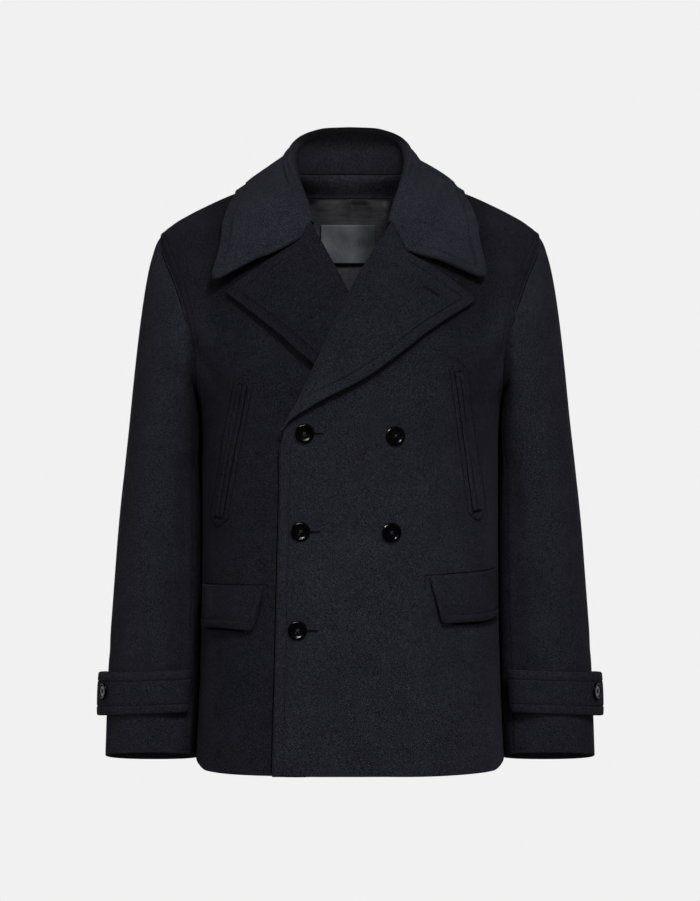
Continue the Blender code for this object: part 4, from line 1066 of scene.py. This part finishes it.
def make_slit(word, side, mat, dark):
    """A slit's strip of painted shade, its two lips, each a soft roll, painted shade lines along their
    seams, and a bar at both ends.
    """
    long = slit_length(word)
    t = np.linspace(0, 1, int(long / 0.003))
    gap = (-0.0012, 0.0012)
    # the slit itself: a strip of painted shade
    verts = [slit_place(word, side, np.array(q), np.array(b), 0.0010) for q in t for b in gap]
    faces = [(i, i + 1, i + 3, i + 2) for i in range(0, 2 * len(t) - 2, 2)]
    mesh(f"pocket_slit_shade_{word}", verts, faces, dark)
    c = np.concatenate([np.linspace(0, 0.2, 7), np.linspace(0.2, 0.8, 7)[1:-1], np.linspace(0.8, 1, 7)])
    for lip, lo, hi, way in (("front", -LIP - 0.0002, -0.0006, -1), ("back", 0.0006, LIP + 0.0002, 1)):
        bb = (lo + (hi - lo) * c)[None] + 0 * t[:, None]
        uneven = 0.8 + 0.2 * np.sin(t * 9 + side)[:, None]
        swell = 0.0026 * np.sqrt(np.clip(np.sin(pi * c), 0, 1))[None] * uneven
        part = 0.0003 * np.sin(t * 13 + side)[:, None] * (1 - np.abs(c - 0.5) * 2)[None]
        # the slit gapes a little half way down
        inner = 1 - c if way > 0 else c
        part = part + way * 0.0005 * np.sin(pi * t)[:, None] * inner[None]
        mid = slit_place(word, side, t[:, None] + 0 * bb, bb + part, 0.0008 + swell / 2)
        half = 0.0004 + swell / 2
        half = half * np.clip(np.minimum(t, 1 - t) / 0.012, 0, 1)[:, None] ** 0.5
        name = f"welt_{word}_{lip}"
        cloth(name, name, mid, half, mat, held=None)
    # painted shade lines along the lips' seams
    for bb in (-LIP - 0.0008, LIP + 0.0008):
        pts = slit_place(word, side, t, np.full_like(t, bb), 0.0010)
        PAINTED_SHADE_LINES.append((pts, way_up(pts), 0.0006))
    for at in (0.0, 1.0):
        c = np.linspace(-LIP - 0.0008, LIP + 0.0008, 12)
        for k in (-0.0005, 0.0004):
            pts = slit_place(word, side, np.full_like(c, at) + k / long, c, 0.0018)
            sew(pts, np.broadcast_to(way_up(pts[:1]), pts.shape), pitch=0.0012, length=0.0011)


def make_flap(word, side, mat):
    x1, h1, x2, h2, h3, h4 = FLAPS[word]
    tall, wide = 0.062, 0.130
    stitch = 0.0105
    v = places([tall], 0.003, marks(), marks(stitch))[0][:, None]
    u = places([wide], 0.0035, marks(), np.array([0.0, 0.0008, 0.003]))
    a, b = tab_places(u, v, wide, tall, 0.0030, 0.0060)
    x0 = x1 * (1 - b) + x2 * b
    top = h1 * (1 - a) + h3 * a
    low = h2 * (1 - a) + h4 * a
    h = top * (1 - b) + low * b + 0.0009 * np.sin(a * 7 + side) * b
    th = angle(x0 + 0 * h, h) * (1 - a) + FLAP_END * a
    off = 0.0005 + 0.0032 * step(b) * (1 - step((a - 0.55) / 0.45)) + FLAP / 2
    off = off + 0.0014 * np.sin(pi * b) * (1 - step((a - 0.7) / 0.3))
    mid = skin(th * side, h, off, side)
    d_front, d_end, d_top, d_low = runs(mid)
    n = normal(th * side, h)
    mid = mid + n * (groove(d_low, stitch, 0.0008) * step((d_front - 0.004) / 0.002)
                     + 0.0004 * bump((d_low - stitch / 2) / 0.004))[..., None]
    half = half_wall(least(d_front, d_end, d_top, d_low), FLAP, 0.75)
    outer, nrm = cloth(f"flap_{word}", f"flap_{word}", mid, half, mat, normals=n)
    i = nearest(d_low, stitch, 1)
    sew(outer[i, 12:], nrm[i, 12:])
    # the shadow below the flap
    foot = outer[-1, 9:-2] - n[-1, 9:-2] * 0.0038 - np.array([0, 0, 0.0010])
    PAINTED_SHADE_LINES.append((foot, n[-1, 9:-2], 0.0034))
    # painted shade along the seam above the flap and its bar at the front end
    seam, bar = h1 + 0.0012, h1 - 0.0165
    run = np.linspace(-0.0045, wide, 40)
    for along, hh in ((run, np.full_like(run, seam)), (np.full(8, run[0]), np.linspace(seam, bar, 8))):
        q = np.clip(along / wide, -1, 1)
        hh = hh + (h3 - h1) * np.clip(q, 0, 1)
        tt = angle(np.full_like(hh, x1), hh) * (1 - q) + FLAP_END * q
        PAINTED_SHADE_LINES.append((skin(tt * side, hh, 0.0003, side), normal(tt * side, hh), 0.0008))


# ---------------------------------------------------------------- cuff straps
def strap_point(phi, h, side, off):
    """Point at a distance off the sleeve, and the way out of it there."""
    p = ring(phi, h, side, PRESS)
    e = 0.5
    t1 = ring(phi + e, h, side, PRESS) - ring(phi - e, h, side, PRESS)
    t2 = ring(phi, h + 0.002, side, PRESS) - ring(phi, h - 0.002, side, PRESS)
    n = unit(np.cross(t2, t1)) * side
    return p + n * np.asarray(off)[..., None], n


def strap_off(phi):
    """How far the strap stands off the sleeve; its free end stands out most."""
    return 0.0007 + 0.0088 * step((70 - phi) / 80)


def make_strap(word, side, mat):
    stitch = 0.0118
    tall, wide = STRAP_HIGH - STRAP_LOW, 0.190
    start, stop = 136.0, -27.7
    u = places([wide], 0.0035, np.array([0.0, 0.001, 0.003]), marks(stitch))
    v = places([tall], 0.003, marks(stitch), marks(stitch))[0][:, None]
    a, b = tab_places(1 - u, v, wide, tall, 0.0090, 0.0030)
    a = 1 - a
    phi = start + (stop - start) * a
    h = STRAP_LOW + tall * b - STRAP_SAG * np.sin(pi * a)
    off = strap_off(phi) + STRAP / 2 + 0.0008 * np.sin(pi * b) + 0.0006 * np.sin(a * 9 + side)
    mid, n = strap_point(phi, h, side, off)
    d_sewn, d_free, d_low, d_high = runs(mid)
    edge = least(d_free, d_low, d_high)
    mid = mid + n * (groove(edge, stitch, 0.0009) * step((d_sewn - 0.003) / 0.002)
                     + 0.0004 * bump((edge - stitch / 2) / 0.004))[..., None]
    half = half_wall(np.minimum(edge, d_sewn), STRAP, 0.75)
    outer, nrm = cloth(f"strap_{word}", f"strap_{word}", mid, half, mat, normals=n)
    for d in (d_low, d_high):
        i = nearest(d, stitch, 1)
        sew(outer[i, d_free[i] > stitch], nrm[i, d_free[i] > stitch])
    j = nearest(d_free, stitch)
    i = (d_low[:, j] > stitch) & (d_high[:, j] > stitch)
    sew(outer[i, j], nrm[i, j])


# ---------------------------------------------------------------- buttons and buttonholes
# turned section of the button, for a radius of 13 mm: distance from the axis, height
BUTTON = [(0.0, 0.0026), (0.0070, 0.0026), (0.0078, 0.0027), (0.0086, 0.0030), (0.0094, 0.0034),
          (0.0101, 0.0037), (0.0106, 0.00375), (0.0112, 0.0036), (0.0119, 0.0032), (0.0126, 0.0027),
          (0.0130, 0.0020), (0.0128, 0.0012), (0.0116, 0.0005), (0.0090, 0.0001), (0.0, 0.0)]
HOLE_AT, HOLE = 0.0019, 0.00105


def turned(section, steps):
    """Points along a smooth line through a section's points."""
    p = np.array(section)
    t = np.concatenate([[0], np.cumsum(np.linalg.norm(np.diff(p, axis=0), axis=1))])
    rows = np.column_stack([t, p])
    q = np.linspace(0, t[-1], steps)
    return curve(rows, 1, q), curve(rows, 2, q)


def make_button(name, place, n, r, mat, thread_mat):
    """A turned button with four holes, its crossed threads, and the shank that it stands on."""
    n = unit(np.array(n, float))
    up = unit(np.cross(n, np.cross((0, 0, 1.0), n)))
    own = np.stack([np.cross(up, n), up, n])
    k = r / max(rad for rad, _ in BUTTON)
    rad, high = turned(BUTTON, 84)
    m, rows = 96, len(rad) - 2
    w = np.arange(m) * 2 * pi / m
    x, y = rad[1:-1, None] * np.cos(w), rad[1:-1, None] * np.sin(w)
    z = np.broadcast_to(high[1:-1, None], x.shape).copy()
    on_top = np.arange(rows)[:, None] < 30
    for sx in (-1, 1):
        for sy in (-1, 1):
            d = np.hypot(x - sx * HOLE_AT, y - sy * HOLE_AT)
            z = z - on_top * 0.0020 * (1 - step((d - HOLE * 0.75) / (HOLE * 0.5)))
            z = z - on_top * 0.0001 * bump((d - HOLE * 1.3) / 0.0003)
    points = np.concatenate([np.stack([x, y, z], -1).reshape(-1, 3), [(0, 0, high[0]), (0, 0, 0)]])
    sides = [(i, (i + 1) % m) for i in range(m)]
    last, top, foot = (rows - 1) * m, rows * m, rows * m + 1
    faces = [(i + p, i + m + p, i + m + q, i + q) for i in range(0, last, m) for p, q in sides]
    faces += [(top, p, q) for p, q in sides]
    faces += [(foot, last + q, last + p) for p, q in sides]
    mesh(name, np.array(place) + points * k @ own, faces, mat, name)

    verts, faces = [], []

    def strand(a, b, lift, radius):
        t = np.linspace(0, 1, 9)[:, None]
        a, b = np.array(a), np.array(b)
        arch = lift * np.sin(pi * t) ** 0.6 - 0.0009 * (1 - np.sin(pi * t)) ** 3
        across = np.array([a[1] - b[1], b[0] - a[0], 0.0])
        up = np.array([0, 0, 1.0])
        tube(verts, faces, a + (b - a) * t + up * arch, unit(across), up, [radius] * 9, 6)

    h, high = HOLE_AT, 0.0028
    for o in (-0.0003, 0.0003):
        for (ax, ay), (bx, by) in (((-h, -h), (h, h)), ((-h, h), (h, -h))):
            strand((ax + o, ay - o, high), (bx + o, by - o, high), 0.0005, 0.00034)
    for w in np.arange(10) * 2 * pi / 10:
        strand((0.0011 * np.cos(w), 0.0011 * np.sin(w), 0.0006),
               (0.0012 * np.cos(w + 0.7), 0.0012 * np.sin(w + 0.7), -0.0014), 0.0, 0.0005)
    mesh(f"{name}_thread", np.array(place) + np.array(verts) * k @ own, faces, thread_mat)


def upon(points, normals, hole):
    """Places along and across a buttonhole on a surface given by its points, seen from the front."""
    start, way = np.array(hole[0]) - (0, NECK), unit(np.array(hole[1]))

    def place(a, b):
        x, z = start + way * a + np.array([-way[1], way[0]]) * b
        d = np.hypot(points[:, 0] - x, points[:, 2] - z)
        near = np.argsort(d)[:6]
        near = near[points[near, 1] < points[near, 1].min() + 0.002]
        w = 1 / (d[near] + 0.0003) ** 2
        w = w / w.sum()
        return np.array([x, w @ points[near, 1], z]), unit(w @ normals[near])

    return place


def on_front(x, h):
    """Places along and across a level buttonhole of the over front."""
    def place(a, b):
        xx, hh = np.array([x + a]), np.array([h + b])
        return front(xx, hh, 0.0, 1)[0], normal(angle(xx, hh), hh)[0]

    return place


def make_buttonhole(name, place, length, dark, eye=True):
    """Worked buttonhole; place(a, b) gives the point and the way up, a along it and b across."""
    gap, band, lift = 0.0004, 0.0012, 0.0001

    def twist(inner, outer):
        (p, n), (q, _) = place(*inner), place(*outer)
        TWIST.append((p + n * lift, q + n * lift, n))

    for sgn in (-1, 1):
        for i, a in enumerate(np.arange(0, length, 0.00055)):
            uneven = 0.00008 * np.sin(i * 2.1)
            twist((a, sgn * gap), (a, sgn * (gap + band + uneven)))
    for end, r in ((0.0, 0.0012 if eye else 0.0005), (length, 0.0005)):
        for w in np.linspace(0, 2 * pi, 22)[:-1]:
            twist(*((end + np.cos(w) * k, np.sin(w) * k) for k in (r, r + band)))
    # the opening between the stitched lips: a strip of painted shade
    verts = []
    for a in np.linspace(0, length, 20):
        for b in (-gap, gap):
            p, n = place(a, b)
            verts.append(p + n * 0.00025)
    mesh(name, verts, [(k, k + 1, k + 3, k + 2) for k in range(0, len(verts) - 2, 2)], dark)


# ---------------------------------------------------------------- materials
class Look:
    """A material being built: its node tree, and what adds to it."""

    def __init__(self, name):
        self.mat = bpy.data.materials.new(name)
        self.mat.use_nodes = True
        self.tree = self.mat.node_tree
        self.place = self.node("TexCoord", "Object", {})

    def feed(self, node, inputs):
        """Sets a node's inputs: sockets are linked, anything else is their value."""
        for key, value in inputs.items():
            if isinstance(value, bpy.types.NodeSocket):
                self.tree.links.new(value, node.inputs[key])
            else:
                node.inputs[key].default_value = value

    def node(self, kind, out, inputs, **settings):
        """Adds a node and gives one of its outputs."""
        node = self.tree.nodes.new(f"ShaderNode{kind}")
        for key, value in settings.items():
            setattr(node, key, value)
        self.feed(node, inputs)
        return node.outputs[out]

    def noise(self, scale, detail=3.0, rough=0.6, stretch=(1, 1, 1)):
        """Noise on the cloth, from 0 to 1; stretch makes it finer along an axis."""
        at = self.node("Mapping", "Vector", {"Vector": self.place, "Scale": stretch})
        form = {"Vector": at, "Scale": scale, "Detail": detail, "Roughness": rough}
        return self.node("TexNoise", "Fac", form)

    def maths(self, kind, a, b):
        return self.node("Math", "Value", {0: a, 1: b}, operation=kind)

    def total(self, *parts):
        """Weighted sum, from pairs of a value and its share."""
        first, *rest = (self.maths("MULTIPLY", value, share) for value, share in parts)
        for term in rest:
            first = self.maths("ADD", first, term)
        return first

    def ramp(self, value, *stops):
        """Colours between stops, from pairs of a value and its colour."""
        colour = self.node("ValToRGB", "Color", {"Fac": value})
        bar = colour.node.color_ramp.elements
        while len(bar) < len(stops):
            bar.new(0.5)
        for e, (at, tone) in zip(bar, stops):
            e.position = at
            e.color = (*tone, 1)
        return colour

    def graded(self, colour, axis, low, high, first, last, both=False):
        """A colour scaled from first to last between two places along an axis, or to both sides of 0:
        painted light and shade.
        """
        at = self.node("SeparateXYZ", axis, {"Vector": self.place})
        if both:
            at = self.maths("ABSOLUTE", at, 0.0)
        span = {"Value": at, "From Min": low, "From Max": high, "To Min": first, "To Max": last}
        scale = self.node("MapRange", "Result", span, interpolation_type="SMOOTHSTEP")
        return self.node("VectorMath", "Vector", {"Vector": colour, "Scale": scale}, operation="SCALE")

    def done(self, colour, rough, specular, relief=None, sheen=None):
        """Gives the material; relief: height, distance and strength, sheen: weight, roughness and tint."""
        surface = {"Base Color": colour, "Roughness": rough, "Specular IOR Level": specular}
        if relief:
            height, distance, strength = relief
            bent = {"Height": height, "Distance": distance, "Strength": strength}
            surface["Normal"] = self.node("Bump", "Normal", bent)
        if sheen:
            weight, spread, tint = sheen
            surface.update({"Sheen Weight": weight, "Sheen Roughness": spread, "Sheen Tint": (*tint, 1)})
        self.feed(self.tree.nodes["Principled BSDF"], surface)
        return self.mat


def melton(name, tone=1.0, top=1.0, tint=(1, 1, 1), across=None, rise=None):
    """Fulled navy-black wool, a fine felted nap; tone makes a lit or shaded copy of it for each piece,
    painted light and shade, and top is its tone at the chest and above, painted shade darkening it towards
    the top.

    across: out from the middle of the coat, or rise: up it, two places and the tone at each, painted light
    and shade."""
    look = Look(name)
    nap = look.noise(1450.0, 3.0, 0.8)
    fibre = look.noise(900.0, 2.0, 0.7, (0.85, 0.85, 1.3))
    clump = look.noise(330.0, 2.0, 0.6)
    cloud = look.noise(26.0, 3.0, 0.55)
    mixed = look.total((nap, 0.53), (fibre, 0.40), (clump, 0.03), (cloud, 0.04))
    stops = ((0.396, (0.0010, 0.0010, 0.0022)), (0.50, (0.0095, 0.0095, 0.0142)),
             (0.604, (0.0370, 0.0365, 0.0480)))
    colour = look.ramp(mixed, *((at, tuple(c * tone * t for c, t in zip(dye, tint))) for at, dye in stops))
    if top != 1.0:
        colour = look.graded(colour, "Z", -0.50, -0.14, 1.0, top)
    if across:
        colour = look.graded(colour, "X", *across, both=True)
    if rise:
        colour = look.graded(colour, "Z", *rise)
    height = look.total((nap, 0.55), (fibre, 0.40), (clump, 0.20))
    return look.done(colour, 0.95, 0.05, (height, 0.0012, 0.60), (0.012, 0.35, (0.80, 0.82, 1.0)))


def satin(name):
    """Twill-faced lining, dark and softly glossy."""
    look = Look(name)
    form = {"Vector": look.place, "Scale": 620.0, "Distortion": 1.5, "Detail": 2.0}
    twill = look.node("TexWave", "Fac", form, wave_type="BANDS", bands_direction="DIAGONAL")
    slub = look.noise(130.0, 3.0, 0.6, (0.25, 1, 2.2))
    cloud = look.noise(30.0, 2.0, 0.5)
    mixed = look.total((twill, 0.20), (slub, 0.50), (cloud, 0.30))
    colour = look.ramp(mixed, (0.32, (0.013, 0.012, 0.014)), (0.68, (0.055, 0.053, 0.061)))
    height = look.total((twill, 0.5), (slub, 0.5))
    return look.done(colour, 0.44, 0.50, (height, 0.0003, 0.30), (0.05, 0.4, (0.9, 0.9, 1.0)))


def bare_tab(name):
    """Smooth woven tab with a fine rib."""
    look = Look(name)
    grain = look.noise(620.0, 4.0, 0.7, (1, 1, 0.35))
    mixed = look.total((grain, 0.30), (look.noise(30.0, 2.0, 0.5), 0.70))
    colour = look.ramp(mixed, (0.33, (0.044, 0.047, 0.053)), (0.64, (0.112, 0.117, 0.127)))
    # painted shade: the tab darkens towards +X
    colour = look.graded(colour, "X", 0.000, 0.028, 1.0, 0.42)
    return look.done(colour, 0.58, 0.35, (grain, 0.0004, 0.45))


def horn(name):
    """Black moulded horn, polished, with faint streaks."""
    look = Look(name)
    streak = look.noise(240.0, 4.0, 0.6, (1, 1, 0.25))
    colour = look.ramp(streak, (0.35, (0.0008, 0.0008, 0.0010)), (0.75, (0.0030, 0.0028, 0.0032)))
    rough = look.node("MapRange", "Result", {"Value": streak, "To Min": 0.12, "To Max": 0.22})
    return look.done(colour, rough, 0.45, (look.noise(900.0, 3.0, 0.6), 0.0001, 0.06))


def thread(name, tone):
    """Twisted sewing thread."""
    look = Look(name)
    ply = look.noise(1500.0, 2.0, 0.5)
    stops = ((0.3, (0.0006, 0.0006, 0.0009)), (0.7, (0.0026, 0.0026, 0.0034)))
    colour = look.ramp(ply, *((at, tuple(c * tone for c in dye)) for at, dye in stops))
    return look.done(colour, 0.85, 0.04, (ply, 0.0003, 0.4))


def shade(name):
    """Painted shade: flat dark colour for the strips in slits and buttonholes and along seams and edges,
    where shade falls.
    """
    look = Look(name)
    colour = look.ramp(look.noise(700.0), (0.3, (0.0012, 0.0012, 0.0016)), (0.7, (0.0034, 0.0034, 0.0044)))
    return look.done(colour, 0.95, 0.05)


# beside the sleeve the fronts are painted lighter against the sleeve's shade, and painted shade darkens
# them again at the shoulder
PAINTED_SIDE_LIGHT, PAINTED_SHOULDER_SHADE = (0.160, 0.196, 1.0, 1.5), (-0.24, -0.14, 1.0, 0.62)
# the same melton on every piece: tone and top make lit and shaded copies of it, painted light and shade
WOOL = melton("melton_navy", 1.06, 0.62)
WOOL_FRONT = melton("melton_front", 1.05, 0.64, across=PAINTED_SIDE_LIGHT, rise=PAINTED_SHOULDER_SHADE)
WOOL_BELOW = melton("melton_under_front", 0.68, 0.95, across=PAINTED_SIDE_LIGHT, rise=PAINTED_SHOULDER_SHADE)
# painted shade on the sleeve's inner side next to the body
WOOL_SLEEVE = melton("melton_sleeve", 0.93, 0.96, across=(0.196, 0.210, 0.54, 1.0))
# painted shade on the strap's inner side next to the body
WOOL_STRAP = melton("melton_strap", 0.96, across=(0.197, 0.214, 0.50, 1.0))
WOOL_COLLAR = melton("melton_collar", 0.95)
# painted shade on the stand, darker upwards under the roll
WOOL_STAND = melton("melton_stand", 0.75, tint=(1.03, 1.0, 0.95), rise=(0.036, 0.058, 1.0, 0.42))
# the lapel worn over is a lit copy with painted shade towards its top, the one worn under a shaded copy
WOOL_OVER = melton("melton_lapel_over", 1.42, 0.44)
WOOL_UNDER = melton("melton_lapel_under", 0.54)
WOOL_FLAP = melton("melton_flap", 0.90)
# the facing is a lit copy, with painted shade darkening it towards its top under the collar
WOOL_IN = melton("melton_facing", 2.4, tint=(1.03, 1.0, 0.95), rise=(-0.020, -0.002, 1.1, 0.55))
# painted shade: the darker strip in the opening of the lapel's buttonhole
HOLE_SHADE_WOOL = melton("buttonhole_painted_shade", 0.50)
SATIN = satin("lining_twill")
TAB = bare_tab("label_bare")
HORN = horn("button_horn")
THREAD = thread("sewing_thread", 1.8)
TWIST_THREAD = thread("buttonhole_thread", 4.0)
BUTTON_THREAD = thread("button_thread", 18.0)
SLIT_SHADE = shade("slit_shade")


# ---------------------------------------------------------------- light, floor and camera
PAPER, AMBIENT = 0.880, 0.40               # tone of the backdrop, light of the whole room
CAMERA, LENS = (0, -2.56, -0.36), 78.63


def glow(name, tone):
    """Plain pale backdrop paper that reads the same from every side."""
    mat = bpy.data.materials.new(name)
    mat.use_nodes = True
    nodes, links = mat.node_tree.nodes, mat.node_tree.links
    nodes.remove(nodes["Principled BSDF"])
    lit = nodes.new("ShaderNodeEmission")
    lit.inputs["Color"].default_value = (tone, tone, tone, 1)
    links.new(lit.outputs["Emission"], nodes["Material Output"].inputs["Surface"])
    return mat


def softbox(name, place, aim, size, power, mirrored=False, soft=True):
    """Soft light; mirrored shows it in polished things, soft lets it light the cloth."""
    data = bpy.data.lights.new(name, "AREA")
    data.shape = "RECTANGLE"
    data.size, data.size_y = size
    data.energy = power
    ob = bpy.data.objects.new(name, data)
    ob.visible_glossy, ob.visible_diffuse = mirrored, soft
    ob.location = place
    ob.rotation_euler = Vector(np.subtract(aim, place)).to_track_quat("-Z", "Y").to_euler()
    bpy.context.scene.collection.objects.link(ob)


def make_room(scene):
    """Even light from the whole room, which the polished buttons don't mirror."""
    world = bpy.data.worlds.new("studio")
    world.use_nodes = True
    world.node_tree.nodes["Background"].inputs["Color"].default_value = (AMBIENT, AMBIENT, AMBIENT, 1)
    scene.world = world
    world.cycles_visibility.glossy = False


def make_sweep(scene, radius=11.0, low=-1.5, sides=64):
    """The paper sweep, seen by the camera alone, so that it lights the cloth from no side."""
    verts = [(np.cos(w) * radius, np.sin(w) * radius, z)
             for z in (low, radius) for w in np.linspace(0, 2 * pi, sides, endpoint=False)]
    faces = [(i, (i + 1) % sides, (i + 1) % sides + sides, i + sides) for i in range(sides)]
    faces += [tuple(range(sides)), tuple(range(sides, 2 * sides))]
    me = bpy.data.meshes.new("studio_floor")
    me.from_pydata(verts, [], faces)
    me.materials.append(glow("backdrop_paper", PAPER))
    floor = bpy.data.objects.new("studio_floor", me)
    floor.visible_diffuse = floor.visible_glossy = floor.visible_shadow = False
    scene.collection.objects.link(floor)


def make_lights():
    softbox("key", (0.50, -1.70, 1.20), (0, -0.1, -0.36), (0.55, 0.55), 50)
    softbox("fill", (-1.7, -2.0, 0.0), (0, 0, -0.40), (1.0, 1.0), 11)
    softbox("gleam", (-0.95, -1.55, 0.95), (0, -0.1, -0.36), (1.1, 0.26), 21, mirrored=True, soft=False)
    for word, side in (("left", -1), ("right", 1)):
        softbox(f"{word}_wing", (3.0 * side, 1.75, -0.66), (0.31 * side, -0.05, -0.67), (1.4, 1.4), 5,
                mirrored=True, soft=False)
        # low behind the coat, so that its back shows and no light reaches its front
        softbox(f"{word}_back", (1.1 * side, 2.3, -0.30), (0, 0.1, -0.45), (1.0, 1.0), 45)


def make_camera(scene):
    data = bpy.data.cameras.new("camera")
    data.sensor_width = 36.0
    data.lens = LENS
    data.clip_start, data.clip_end = 0.05, 60
    camera = bpy.data.objects.new("camera", data)
    camera.location = CAMERA
    camera.rotation_euler = (pi / 2, 0, 0)
    scene.collection.objects.link(camera)
    scene.camera = camera


SETTING = bpy.context.scene
SETTING.view_settings.view_transform = "Standard"
make_room(SETTING)
make_sweep(SETTING)
make_lights()
make_camera(SETTING)


# ---------------------------------------------------------------- the coat
def make_side(word, side):
    """One half of the coat; the wearer's left front is the one worn over."""
    worn_over = side > 0
    front_mat = WOOL_FRONT if worn_over else WOOL_BELOW
    make_front(f"front_{word}", side, front_mat)
    make_back(f"back_{word}", side, WOOL)
    lapel = make_lapel(f"lapel_{word}", side, WOOL_OVER if worn_over else WOOL_UNDER)
    if worn_over:
        make_buttonhole("lapel_buttonhole", upon(*lapel, LAPEL_HOLE), LAPEL_HOLE[2], HOLE_SHADE_WOOL)
    make_sleeve(word, side, WOOL_SLEEVE)
    make_field(word, side, front_mat)
    make_slit(word, side, front_mat, SLIT_SHADE)
    make_flap(word, side, WOOL_FLAP if worn_over else WOOL_BELOW)
    make_strap(word, side, WOOL_STRAP)
    phi, h = np.array(CUFF_BUTTON)[:, None]
    p, n = strap_point(phi, h, side, strap_off(phi) + STRAP + 0.0006)
    make_button(f"cuff_button_{word}", p[0], n[0], CUFF_BUTTON_R, HORN, BUTTON_THREAD)


make_side("left", 1)
make_side("right", -1)
make_collar("collar", WOOL_COLLAR, WOOL_STAND)
make_facing(WOOL_IN)
make_lining("left", 1, SATIN)
make_lining("right", -1, SATIN)
make_label(TAB)
for name, *place in BUTTONS:
    x, h = np.array(place)[:, None]
    th = angle(x, h)
    make_button(name, skin(th, h, 0.0008, 1)[0], normal(th, h)[0], BUTTON_R, HORN, BUTTON_THREAD)
for i, (x, h, long) in enumerate(HOLES):
    make_buttonhole(f"buttonhole_{i + 1}", on_front(x, h), long, SLIT_SHADE, eye=False)
make_threads("topstitching", THREADS, THREAD, THREAD_R)
make_threads("buttonhole_twist", TWIST, TWIST_THREAD, TWIST_R)
make_painted_shade_lines(SLIT_SHADE)
